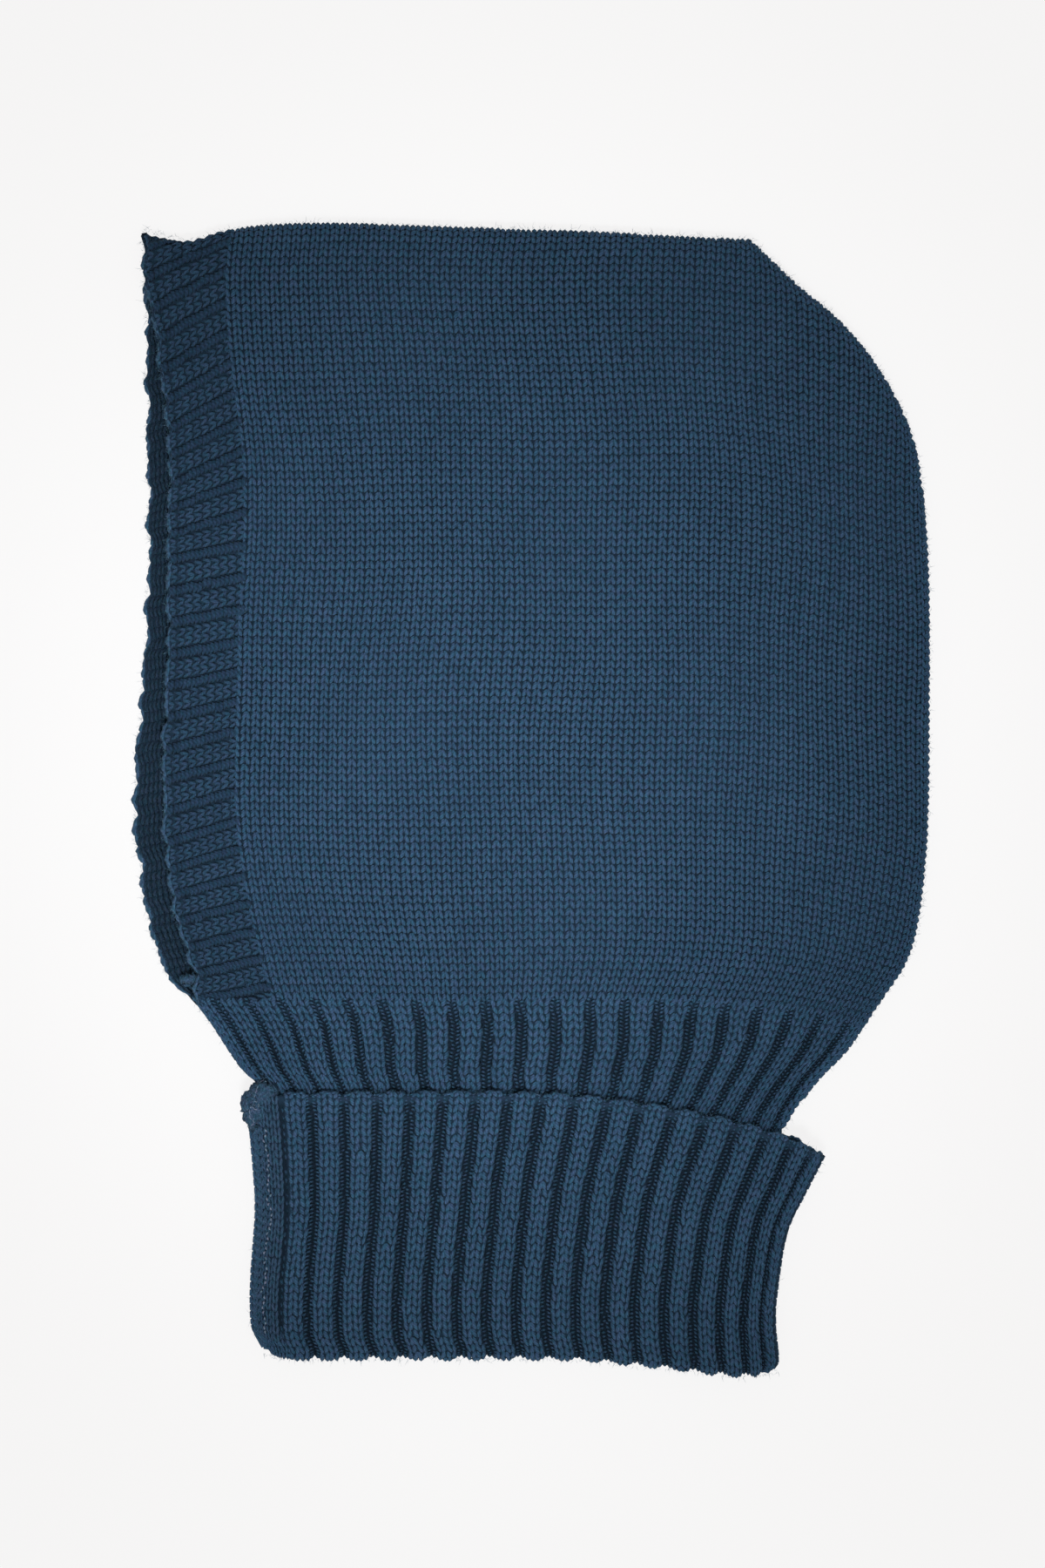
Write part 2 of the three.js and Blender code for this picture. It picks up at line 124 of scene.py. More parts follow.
# Hood
# A stockinette hood in one thickness of knitting, folded flat over the crown and down the back of the head,
# so that it lies in two layers. Each stitch shows as two plump legs of yarn in a V that points down.
MM = 0.001
WALE = 0.00333
COURSE = 0.00252
STOCKINETTE_WALL = 0.0024
HOOD_HALF = 0.0054
HOOD_WALES = 70
HOOD_COURSES = 104
SWELL = 0.0009
SWELL_REACH = 0.045
DROOP_FROM = 0.0405
DROOP = 1.835
RIB_LINE = -0.0667
WALE_CROWDING = 0.006
BACK_TOP = 0.06
NECK_EDGE_FROM = -0.0675
CLIMB_FROM = -0.068
CLIMB = 0.024
WAVE_HEIGHT = 0.00025
WAVE_TURNS = (61, 47)
WAVE_STARTS = (1.0, 0.4)
CLOTH_DEPTH = 0.001
HOOD_GRID = (61, 71)
FINE_STEPS = 16
NEAR_STEPS = 20000
SETTLING_ROUNDS = 4
TINY = 1e-7
WELD = 1e-6
ABOVE_FLOOR = 0.00005
SEED = 7

# Loose fibres: how thick and long, how far they stray and curl, and how many to a metre of edge and on top
FIBRE_RADIUS = 0.00005
FIBRE_LENGTH = 0.0017
FIBRE_LENGTHS = (0.4, 1.3)
FIBRE_STRAY = 1.2
FIBRE_CURL = 0.35
EDGE_FIBRES = 2400
EDGE_FIBRE_ANGLES = (-0.5, 0.9)
TOP_FIBRES = 1800
TOP_FIBRE_ROOT = -0.0001
TOP_FIBRE_COURSES = (1, HOOD_COURSES - 3)
TOP_FIBRE_WAY = (0.0, 0.0, 0.5)
ACROSS_FIBRES = (0.31, 0.27, 0.91)
EDGE_AHEAD = 0.01

# Ripples of the hood's wales and courses: size, and turn for each course and for each wale
RIPPLES_X = [(0.0004, 0.21, 0.13), (0.0003, 0.09, -0.31)]
RIPPLES_Y = [(0.0004, 0.05, 0.23)]

CROWN_EDGE = [
    (-129.5, 190.4), (-121.5, 188.2), (-114.0, 186.6), (-101.0, 190.2),
    (-78.0, 192.3), (-32.0, 191.3), (26.0, 189.3), (73.0, 186.9),
]
BACK_EDGE = [
    (73.0, 186.9), (88.8, 171.8), (105.0, 157.4), (117.3, 141.5), (127.5, 120.3),
    (131.8, 92.0), (132.8, 28.0), (131.4, -23.0), (126.3, -52.2), (117.0, -67.0),
]
NECK_RIGHT_EDGE = [
    (117.0, -67.0), (107.0, -81.0), (92.5, -96.5), (84.0, -111.0), (77.8, -142.0), (77.2, -179.3),
]
NECK_LEFT_EDGE = [
    (-113.0, -67.0), (-106.5, -75.0), (-96.5, -89.0), (-90.4, -97.0), (-89.0, -112.0), (-88.9, -175.2),
]

# Face opening: free edge of the upper and of the lower layer, and the seam of band and hood, in millimetres
FACE_COLUMNS = ("y", "upper", "lower", "seam")
FACE_ROWS = np.array([
    (-66.7, -111.6, -113.2, -86.3),
    (-63.5, -112.6, -117.0, -87.4),
    (-59.0, -110.9, -120.6, -88.9),
    (-52.5, -114.2, -124.6, -90.8),
    (-41.0, -117.6, -127.6, -93.6),
    (-23.5, -121.0, -130.8, -96.6),
    (-2.0, -122.3, -132.7, -98.6),
    (20.0, -122.4, -131.4, -98.9),
    (49.0, -121.0, -129.2, -97.4),
    (80.5, -121.1, -127.8, -96.2),
    (115.5, -120.5, -128.2, -96.7),
    (141.5, -123.2, -128.4, -99.6),
    (162.0, -126.2, -128.6, -101.9),
    (176.0, -129.0, -129.0, -102.5),
    (188.5, -129.5, -129.5, -101.0),
])
SEAM_SLIDE = 0.0085


def ease(share):
    """Smooth step from 0 to 1."""
    share = np.clip(share, 0, 1)
    return share * share * (3 - 2 * share)


def mix(a, b, share):
    return a * (1 - share) + b * share


def smooth_line(points, steps=80):
    """Even steps along a centripetal curve through points of the plan, which are given in millimetres."""
    points = np.array(points) * MM
    knots = np.vstack([2 * points[0] - points[1], points, 2 * points[-1] - points[-2]])
    t = np.linspace(0, 1, FINE_STEPS, endpoint=False)[:, None]
    fine = []
    for a, b, c, d in zip(knots, knots[1:], knots[2:], knots[3:]):
        before, here, after = (math.sqrt(math.dist(p, q)) for p, q in ((a, b), (b, c), (c, d)))
        slope_b = ((b - a) / before - (c - a) / (before + here) + (c - b) / here) * here
        slope_c = ((c - b) / here - (d - b) / (here + after) + (d - c) / after) * here
        fine.append(
            b + slope_b * t + (3 * (c - b) - 2 * slope_b - slope_c) * t ** 2
            + (2 * (b - c) + slope_b + slope_c) * t ** 3
        )
    fine = np.vstack([*fine, points[-1:]])
    run = np.concatenate([[0], np.cumsum(np.hypot(*np.diff(fine, axis=0).T))])
    even = np.linspace(0, run[-1], steps + 1)
    return np.column_stack([np.interp(even, run, fine[:, 0]), np.interp(even, run, fine[:, 1])])


def x_at(line, y):
    """Where a line that climbs or falls all the way crosses height y."""
    order = line[:, 1].argsort()
    return np.interp(y, line[order, 1], line[order, 0])


def folded_edge(*lines):
    """Folded edges as one list of short straight steps. Each line runs clockwise round the object."""
    starts = np.vstack([line[:-1] for line in lines])
    steps = np.vstack([np.diff(line, axis=0) for line in lines])
    return starts, steps


def unit(ways):
    """Directions, all with a length of one."""
    return ways / np.linalg.norm(ways, axis=1)[:, None]


def nearest_fold(points, fold):
    """Depth of each plan point inside the folded edges, the nearest place on them, and the way in."""
    starts, steps = fold
    depths, places, ways = [], [], []
    for part in np.array_split(points, len(points) // NEAR_STEPS + 1):
        offset = part[:, None] - starts
        share = np.clip((offset * steps).sum(2) / (steps ** 2).sum(1), 0, 1)
        gap = offset - share[..., None] * steps
        distance = np.hypot(gap[..., 0], gap[..., 1])
        row = np.arange(len(part))
        best = distance.argmin(1)
        gap, distance, step = gap[row, best], distance[row, best], steps[best]
        side = np.where(step[:, 1] * offset[row, best, 0] - step[:, 0] * offset[row, best, 1] < 0, -1, 1)
        square = unit(np.column_stack([step[:, 1], -step[:, 0]]))
        far = distance[:, None] > TINY
        ways.append(np.where(far, side[:, None] * gap / np.maximum(distance, TINY)[:, None], square))
        depths.append(side * distance)
        places.append(part - gap)
    return np.concatenate(depths), np.vstack(places), np.vstack(ways)


def bend(run, radius, height):
    """Cloth led round an edge of this radius. The run is measured along it from its outermost line and is
    negative past it. Gives the distance inside the edge, and how far above the bend's middle the point
    lies."""
    angle = np.clip(run / radius, -math.pi / 2, math.pi / 2)
    past = np.maximum(np.abs(run) - radius * math.pi / 2, 0)
    return radius - (radius + height) * np.cos(angle) + past, (radius + height) * np.sin(angle)


def lay(points, height, layer, fold, radius, middle, swell=0.0):
    """Flat cloth laid round folded edges, on its upper (1) or lower (-1) layer."""
    depth, near, way = nearest_fold(points, fold)
    inside, rise = bend(depth + (math.pi / 2 - 1) * radius, radius, height)
    puff = swell * ease((depth - radius) / SWELL_REACH)
    return np.column_stack([near + way * inside[:, None], middle + layer * rise + puff])


crown_line = smooth_line(CROWN_EDGE)
back_line = smooth_line(BACK_EDGE)
neck_right_line = smooth_line(NECK_RIGHT_EDGE)
neck_left_line = smooth_line(NECK_LEFT_EDGE)
back_and_neck = np.vstack([back_line, neck_right_line[neck_right_line[:, 1] < NECK_EDGE_FROM]])
hood_fold = folded_edge(crown_line, back_and_neck)
face_line = {
    name: smooth_line(FACE_ROWS[:, (column, 0)]) for column, name in enumerate(FACE_COLUMNS) if column > 0
}
FACE_TOP = FACE_ROWS[-1, 0] * MM
SEAM_TOP = FACE_ROWS[-1, FACE_COLUMNS.index("seam")] * MM
HOOD_EXTRA = (math.pi / 2 - 1) * HOOD_HALF
CUFF_HALF = 0.0087


def seam_x(layer, y):
    """Seam of band and hood on a layer: the lower layer lies a little further out."""
    share = np.clip((y - RIB_LINE) / (FACE_TOP - RIB_LINE), 0, 1)
    return x_at(face_line["seam"], y) - (0 if layer > 0 else SEAM_SLIDE) * np.sin(math.pi * share)


def knit_middle(y):
    """Height of the middle between the two layers, which climbs below the hood up to the inside of the
    cuff."""
    return mix(HOOD_HALF, CUFF_HALF, ease((CLIMB_FROM - y) / CLIMB))


def droop(x):
    """How far the courses hang down below the straight rib line, towards the back."""
    return DROOP * np.maximum(x - DROOP_FROM, 0) ** 2


def ripple(rows, wale, course):
    return sum(size * np.sin(course * by_course + wale * by_wale) for size, by_course, by_wale in rows)


def hood_plan(layer, wale, course):
    """Plan place of a wale and course: wales narrow towards the neck and courses droop towards the back."""
    level = RIB_LINE + course * COURSE
    share = wale / HOOD_WALES - WALE_CROWDING * np.sin(2 * math.pi * wale / HOOD_WALES)
    y = level
    for _ in range(SETTLING_ROUNDS - 1):
        right = x_at(back_and_neck, np.minimum(y, BACK_TOP)) + HOOD_EXTRA
        x = mix(seam_x(layer, y), right, share)
        y = level - droop(x)
    return np.column_stack([x + ripple(RIPPLES_X, wale, course), y + ripple(RIPPLES_Y, wale, course)])


def hood_swell(layer, plan):
    """Swell of the upper layer, which starts from the band's seam and from the rib of the neck."""
    from_seam, from_rib = plan[:, 0] - seam_x(layer, plan[:, 1]), plan[:, 1] - RIB_LINE
    return SWELL * (layer > 0) * ease(from_seam / SWELL_REACH) * ease(from_rib / SWELL_REACH)


def hood_place(layer):
    def place(wale, course, height):
        plan = hood_plan(layer, wale, course)
        wave_x, wave_y = np.sin(plan * WAVE_TURNS + WAVE_STARTS).T
        lifted = height + WAVE_HEIGHT * wave_x * wave_y
        middle, swell = knit_middle(plan[:, 1]), hood_swell(layer, plan)
        return lay(plan, lifted, layer, hood_fold, HOOD_HALF, middle, swell)
    return place


def strand(path, half_width, half_height, sides=4):
    """Closed length of yarn along a path of (across, along, up) in metres. Its first and last points are
    its two tips, and each point between them has a ring of this half width and half height."""
    path = np.array(path)
    run = unit(np.gradient(path[:, :2], axis=0))
    angle = math.pi / 2 + 2 * math.pi * np.arange(sides) / sides
    rings = []
    for k in range(1, len(path) - 1):
        side = np.array([run[k, 1], -run[k, 0], 0.0])
        ring = path[k] + np.outer(np.cos(angle) * half_width[k - 1], side)
        ring[:, 2] += np.sin(angle) * half_height[k - 1]
        rings.append(ring)
    count = len(rings)
    last = 1 + count * sides
    at = 1 + np.arange(count * sides).reshape(count, sides)
    turn = np.roll(at, -1, axis=1)
    quads = np.stack([at[:-1], turn[:-1], turn[1:], at[1:]], -1).reshape(-1, 4)
    start = np.column_stack([turn[0], at[0], np.zeros(sides, int)])
    finish = np.column_stack([at[-1], turn[-1], np.full(sides, last)])
    run = np.concatenate([[0], np.cumsum(np.hypot(*np.diff(path[:, :2], axis=0).T))])
    shares = run / run[-1]
    return {
        "points": np.vstack([path[:1], *rings, path[-1:]]),
        "quads": quads,
        "tris": np.vstack([start, finish]),
        "along": np.concatenate([[0], np.repeat(shares[1:-1], sides), [1]]),
        "around": np.concatenate([[0], np.tile(np.cos(angle), count), [0]]),
    }


def plain(points, quads, tris, deep=0.0):
    """A part with the same yarn all over, at this depth below the cloth's nominal surface in millimetres."""
    count = len(points)
    values = {name: np.zeros(count) for name in ("along", "around", "tone")}
    return {"points": points, "quads": quads, "tris": tris, **values, "deep": deep * np.ones(count)}


def fuzz(starts, ways, rng, length=FIBRE_LENGTH):
    """Loose fibres that leave the yarn at these places, each in its own direction on about the given way. A
    fibre has its root, a ring of three points at its middle, and its tip."""
    count = len(starts)
    lean = unit(ways + rng.normal(0, FIBRE_STRAY, (count, 3)))
    curl = rng.normal(0, FIBRE_CURL, (count, 3))
    long = length * rng.uniform(*FIBRE_LENGTHS, (count, 1))
    middle = starts + lean * long * 0.5
    tip = starts + (lean + curl) * long
    angle = (2 * math.pi * np.arange(3) / 3)[None, :, None]
    side = unit(np.cross(lean, ACROSS_FIBRES))
    other = np.cross(lean, side)
    ring = middle[:, None] + FIBRE_RADIUS * (np.cos(angle) * side[:, None] + np.sin(angle) * other[:, None])
    points = np.concatenate([starts[:, None], ring, tip[:, None]], axis=1)
    fan = np.array([(0, 2, 1), (0, 3, 2), (0, 1, 3), (4, 1, 2), (4, 2, 3), (4, 3, 1)])
    tris = (fan + 5 * np.arange(count)[:, None, None]).reshape(-1, 3)
    return plain(points.reshape(-1, 3), np.zeros((0, 4), int), tris)


def resampled(line, shares):
    """Points of an evenly spaced line at these shares of its length."""
    at = np.asarray(shares) * (len(line) - 1)
    return np.column_stack([np.interp(at, np.arange(len(line)), line[:, k]) for k in (0, 1)])


def edge_fuzz(line, middle, half, rng):
    """Fibres with their yarn along a clockwise fold or edge of the plan, over this half thickness above and
    below the middle."""
    run = np.hypot(*np.diff(line, axis=0).T).sum()
    share = (1 - EDGE_AHEAD) * rng.uniform(0, 1, int(run * EDGE_FIBRES))
    near, ahead = resampled(line, share), resampled(line, share + EDGE_AHEAD)
    out = unit(np.column_stack([near[:, 1] - ahead[:, 1], ahead[:, 0] - near[:, 0]]))
    angle = rng.uniform(*EDGE_FIBRE_ANGLES, len(share))
    places = near + out * (half * (np.cos(angle) - 1))[:, None]
    starts = np.column_stack([places, middle + half * np.sin(angle)])
    return fuzz(starts, np.column_stack([out, np.zeros(len(out))]), rng), loose_fibre_pale_and_painted_lit


def joined(parts):
    """Several parts as one, with their faces renumbered."""
    first = np.cumsum([0] + [len(part["points"]) for part in parts])
    whole = {}
    for key in parts[0]:
        faces = key in ("quads", "tris")
        whole[key] = np.concatenate([part[key] + number * faces for part, number in zip(parts, first)])
    return whole


# Knit stitch: half height of a leg, its bow, and how deep its ends lie and how far it rises between them
LEG_HALF_HEIGHT = 0.00056
LEG_BOW = 0.00012
LEG_ENDS = -0.00112
LEG_RISE = 0.00074
LEG_RISE_POWER = 0.6


def v_stitch(
    sides, shares=(0.0, 0.1, 0.5, 0.9, 1.0), width=0.0008, reach=0.64, foot=0.1, head=0.385, taper=0.34,
):
    """Two legs of a knit stitch: close together at the foot and apart at the head, where both ends are
    tucked in under the stitches beside them. The points of a leg lie at these shares of its length."""
    share = np.array(shares)
    hump = np.sin(math.pi * share)
    across = mix(foot, head, share) * WALE + LEG_BOW * hump
    along = mix(-reach, reach, share) * COURSE
    up = LEG_ENDS + LEG_RISE * hump ** LEG_RISE_POWER
    full = 1 - taper + taper * hump[1:-1]
    legs = []
    for side in (1, -1):
        path = np.column_stack([side * across, along, up])
        legs.append(strand(path, width * full, LEG_HALF_HEIGHT * full, sides))
    return joined(legs)


# How far single stitches stray: in wales, in courses and in metres of height, and in girth and lean
STITCH_STRAY = (0.022, 0.028, 0.00004)
GIRTH_STRAY = 0.035
LEAN_STRAY = 0.02

# Tone of single stitches, and of streaks along the courses and the wales. A turn is in radians from one
# course or wale to the next, and the drift makes the streaks along the courses uneven.
STITCH_TONE = 0.6
COURSE_STREAK = 0.5
COURSE_STREAK_TURN = 2.4
STREAK_DRIFT = 1.7
STREAK_DRIFT_TURN = 0.37
WALE_STREAK = 0.3
WALE_STREAK_TURN = 1.9


def knit(shape, wale, course, place, rng, width=1.0, wander=1.0, relief=None):
    """A copy of a stitch at each wale and course, laid on the cloth by place(wale, course, height). The
    relief gives how far the cloth rises or sinks there."""
    count = len(wale)
    shift = rng.normal(0, wander, (3, count, 1)) * np.array(STITCH_STRAY)[:, None, None]
    girth = 1 + rng.normal(0, GIRTH_STRAY * wander, (count, 1))
    lean = rng.normal(0, LEAN_STRAY * wander, (count, 1))
    across = shape["points"][:, 0] / WALE
    along = shape["points"][:, 1] / COURSE
    wales = (wale[:, None] + shift[0] + (across * girth + along * lean) * width).ravel()
    courses = (course[:, None] + shift[1] + along).ravel()
    heights = (shape["points"][:, 2] + shift[2]).ravel()
    if relief is not None:
        heights = heights + relief(wales, courses)
    size = len(across)
    first = np.arange(count)[:, None, None] * size
    drifting = STREAK_DRIFT * np.sin(course * STREAK_DRIFT_TURN)
    tone = COURSE_STREAK * np.sin(course * COURSE_STREAK_TURN + drifting)
    tone = tone + WALE_STREAK * np.sin(wale * WALE_STREAK_TURN) + rng.normal(0, STITCH_TONE, count)
    return {
        "points": place(wales, courses, heights),
        "quads": (shape["quads"] + first).reshape(-1, 4),
        "tris": (shape["tris"] + first).reshape(-1, 3),
        "along": np.tile(shape["along"], count),
        "around": np.tile(shape["around"], count),
        "tone": np.repeat(tone, size),
        "deep": -heights / MM,
    }


def deep_points(places, height):
    """Places with how far each lies below the cloth's nominal surface, in millimetres, as a fourth number."""
    return np.column_stack([places, -height / MM * np.ones(len(places))])


def each_pair(across, down):
    """Every pair of a number across and a number down, as two lists."""
    return [grid.ravel() for grid in np.meshgrid(across, down)]


def cloth(outer, inner, rims):
    """Closed wall between two grids of deep points. Each edge of the grid named in rims is closed across."""
    rows, columns = outer.shape[:2]
    at = np.arange(rows * columns).reshape(rows, columns)
    below = rows * columns
    grid = np.stack([at[:-1, :-1], at[:-1, 1:], at[1:, 1:], at[1:, :-1]], -1).reshape(-1, 4)
    quads = [grid, grid[:, ::-1] + below]
    edges = {"bottom": at[0], "right": at[:, -1], "top": at[-1, ::-1], "left": at[::-1, 0]}
    for name in rims:
        edge = edges[name]
        quads.append(np.column_stack([edge[1:], edge[:-1], edge[:-1] + below, edge[1:] + below]))
    points = np.vstack([outer.reshape(-1, 4), inner.reshape(-1, 4)])
    cells = np.round(points[:, :3] / WELD).astype(np.int64)
    same, first, index = np.unique(cells, axis=0, return_index=True, return_inverse=True)
    quads = index.ravel()[np.vstack(quads)]
    whole = [len(set(quad)) == 4 for quad in quads.tolist()]
    return plain(same * WELD, quads[whole], np.zeros((0, 3), int), points[first, 3])


def volume(part):
    """Signed volume: positive where the faces point out."""
    quads, points = part["quads"], part["points"]
    tris = np.vstack([quads[:, [0, 1, 2]], quads[:, [0, 2, 3]], part["tris"]])
    a, b, c = (points[tris[:, k]] for k in range(3))
    return np.einsum("ij,ij->i", a, np.cross(b, c)).sum() / 6


def make_piece(name, parts, node, smooth=True):
    """One object of (part, material) pairs, which rides on the root body and stands for a CAD node. It is
    pressed flat where it rests on the floor."""
    solid = []
    for part, _ in parts:
        if volume(part) < 0:
            part = {**part, "quads": part["quads"][:, ::-1], "tris": part["tris"][:, ::-1]}
        solid.append(part)
    whole = joined(solid)
    whole["points"][:, 2] = np.maximum(whole["points"][:, 2], ABOVE_FLOOR)
    mesh = bpy.data.meshes.new(name)
    mesh.from_pydata(whole["points"].tolist(), [], whole["quads"].tolist() + whole["tris"].tolist())
    finishes = list(dict.fromkeys(material for _, material in parts))
    for material in finishes:
        mesh.materials.append(material)
    numbers = [finishes.index(material) for _, material in parts]
    index = np.concatenate([
        np.repeat(numbers, [len(part["quads"]) for part in solid]),
        np.repeat(numbers, [len(part["tris"]) for part in solid]),
    ])
    mesh.polygons.foreach_set("material_index", index.astype(np.int32))
    mesh.polygons.foreach_set("use_smooth", np.full(len(mesh.polygons), smooth))
    for key in ("tone", "deep", "along", "around"):
        mesh.attributes.new(key, "FLOAT", "POINT").data.foreach_set("value", whole[key].astype(np.float32))
    mesh.update()
    made = bpy.data.objects.new(name, mesh)
    bpy.context.scene.collection.objects.link(made)
    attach(made, "root")
    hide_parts(node)
    return made


def node_group(name, inputs, outputs):
    """Shader node group with named sockets. Gives the group, its input node and its output node."""
    group = bpy.data.node_groups.new(name, "ShaderNodeTree")
    for socket, kind, value in inputs:
        group.interface.new_socket(socket, in_out="INPUT", socket_type=kind).default_value = value
    for socket, kind in outputs:
        group.interface.new_socket(socket, in_out="OUTPUT", socket_type=kind)
    return group, group.nodes.new("NodeGroupInput"), group.nodes.new("NodeGroupOutput")


def feed(tree, socket, value):
    """Links a socket to another, or gives it a value of its own."""
    if isinstance(value, bpy.types.NodeSocket):
        tree.links.new(value, socket)
    else:
        socket.default_value = value


def math_node(tree, operation, *values):
    """Math node with values or sockets as its inputs. Gives its output socket."""
    node = tree.nodes.new("ShaderNodeMath")
    node.operation = operation
    for socket, value in zip(node.inputs, values):
        feed(tree, socket, value)
    return node.outputs[0]


def mix_node(tree, factor, a, b, blend="MIX"):
    """Mix of two colours. Gives its output socket."""
    node = tree.nodes.new("ShaderNodeMix")
    node.data_type = "RGBA"
    node.blend_type = blend
    for name, value in (("Factor", factor), ("A", a), ("B", b)):
        feed(tree, node.inputs[name], value)
    return node.outputs["Result"]


def attribute(tree, name):
    node = tree.nodes.new("ShaderNodeAttribute")
    node.attribute_name = name
    return node.outputs["Fac"]


def noise(tree, scale, detail=2.0, roughness=0.5):
    """Noise over the object's own coordinates, as a value from 0 to 1."""
    where = tree.nodes.new("ShaderNodeTexCoord")
    node = tree.nodes.new("ShaderNodeTexNoise")
    set_inputs(node, {"Scale": scale, "Detail": detail, "Roughness": roughness})
    tree.links.new(where.outputs["Object"], node.inputs["Vector"])
    return node.outputs["Fac"]


# Twist of the plies round the yarn, with loose fibres over it
yarn_twist, twist_in, twist_out = node_group(
    "yarn_twist",
    [
        ("Turns", "NodeSocketFloat", 2.4),
        ("Slant", "NodeSocketFloat", -0.65),
        ("Fuzz", "NodeSocketFloat", 0.5),
    ],
    [("Height", "NodeSocketFloat"), ("Crest", "NodeSocketFloat")],
)
lengthwise = math_node(yarn_twist, "MULTIPLY", attribute(yarn_twist, "along"), twist_in.outputs["Turns"])
sideways = math_node(yarn_twist, "MULTIPLY", attribute(yarn_twist, "around"), twist_in.outputs["Slant"])
phase = math_node(yarn_twist, "MULTIPLY", math_node(yarn_twist, "ADD", lengthwise, sideways), 2 * math.pi)
ply = math_node(yarn_twist, "MULTIPLY", math_node(yarn_twist, "SINE", phase), 0.5)
fibre_noise = noise(yarn_twist, scale=3600.0, detail=3.0, roughness=0.7)
fibre = math_node(yarn_twist, "MULTIPLY", fibre_noise, twist_in.outputs["Fuzz"])
yarn_twist.links.new(math_node(yarn_twist, "ADD", ply, fibre), twist_out.inputs["Height"])
yarn_twist.links.new(math_node(yarn_twist, "ADD", ply, 0.5), twist_out.inputs["Crest"])

# Colour of dyed yarn: darker and lighter stitches, streaks of fibre and slow drifts over the cloth, with
# painted shade between the plies and wherever the yarn lies deep among its neighbours
dyed_yarn_painted_shade, dyed_in, dyed_out = node_group(
    "dyed_yarn_painted_shade",
    [
        ("Dark", "NodeSocketColor", (0.02, 0.05, 0.1, 1.0)),
        ("Light", "NodeSocketColor", (0.05, 0.1, 0.17, 1.0)),
        ("Spread", "NodeSocketFloat", 0.1),
        ("Crest", "NodeSocketFloat", 1.0),
        ("Ply Shade", "NodeSocketFloat", 0.3),
        ("Deep Shade", "NodeSocketFloat", 0.55),
        ("Warm Fibre", "NodeSocketColor", (1.22, 0.95, 1.03, 1.0)),
        ("Cool Fibre", "NodeSocketColor", (0.78, 1.04, 0.98, 1.0)),
    ],
    [("Color", "NodeSocketColor"), ("Roughness", "NodeSocketFloat")],
)
SHADE_FROM = 0.5
SHADE_TO = 2.3
BLACK = (0.0, 0.0, 0.0, 1.0)
SPECKLE_GLOSS = 0.2

# What each noise is multiplied by, and what is then added
SPECKLE_RANGE = (2.0, -0.55)
DRIFT_RANGE = (0.35, -0.15)
PATCH_RANGE = (3.0, -1.0)
stitch_tone = math_node(dyed_yarn_painted_shade, "MULTIPLY", attribute(dyed_yarn_painted_shade, "tone"), dyed_in.outputs["Spread"])
speckle_noise = noise(dyed_yarn_painted_shade, scale=1900.0, detail=3.0, roughness=0.65)
speckle = math_node(dyed_yarn_painted_shade, "MULTIPLY_ADD", speckle_noise, *SPECKLE_RANGE)
drift = math_node(dyed_yarn_painted_shade, "MULTIPLY_ADD", noise(dyed_yarn_painted_shade, scale=38.0), *DRIFT_RANGE)
lightness = math_node(dyed_yarn_painted_shade, "ADD", math_node(dyed_yarn_painted_shade, "ADD", speckle, drift), stitch_tone)
patch_noise = noise(dyed_yarn_painted_shade, scale=600.0, detail=2.0, roughness=0.6)
patches = math_node(dyed_yarn_painted_shade, "MULTIPLY_ADD", patch_noise, *PATCH_RANGE)
dyed = mix_node(dyed_yarn_painted_shade, lightness, dyed_in.outputs["Dark"], dyed_in.outputs["Light"])
tints = mix_node(dyed_yarn_painted_shade, patches, dyed_in.outputs["Cool Fibre"], dyed_in.outputs["Warm Fibre"])
tinted = mix_node(dyed_yarn_painted_shade, 1.0, dyed, tints, "MULTIPLY")
# Painted shade: darker the deeper the yarn lies below the cloth's surface, and darker between the plies
sunk = dyed_yarn_painted_shade.nodes.new("ShaderNodeMapRange")
sunk.interpolation_type = "SMOOTHSTEP"
set_inputs(sunk, {"From Min": SHADE_FROM, "From Max": SHADE_TO})
dyed_yarn_painted_shade.links.new(attribute(dyed_yarn_painted_shade, "deep"), sunk.inputs["Value"])
deep_shade = math_node(dyed_yarn_painted_shade, "MULTIPLY", sunk.outputs["Result"], dyed_in.outputs["Deep Shade"])
between_plies = math_node(dyed_yarn_painted_shade, "SUBTRACT", 1.0, dyed_in.outputs["Crest"])
ply_shade = math_node(dyed_yarn_painted_shade, "MULTIPLY", between_plies, dyed_in.outputs["Ply Shade"])
lit = math_node(
    dyed_yarn_painted_shade, "MULTIPLY", math_node(dyed_yarn_painted_shade, "SUBTRACT", 1.0, deep_shade),
    math_node(dyed_yarn_painted_shade, "SUBTRACT", 1.0, ply_shade),
)
dyed_yarn_painted_shade.links.new(mix_node(dyed_yarn_painted_shade, lit, BLACK, tinted), dyed_out.inputs["Color"])
matt = math_node(dyed_yarn_painted_shade, "SUBTRACT", 1.0, math_node(dyed_yarn_painted_shade, "MULTIPLY", speckle, SPECKLE_GLOSS))
dyed_yarn_painted_shade.links.new(matt, dyed_out.inputs["Roughness"])


SHEEN_TINT = (0.4, 0.7, 0.85, 1.0)
PLY_BUMP = 0.8
PLY_HEIGHT = 0.0002


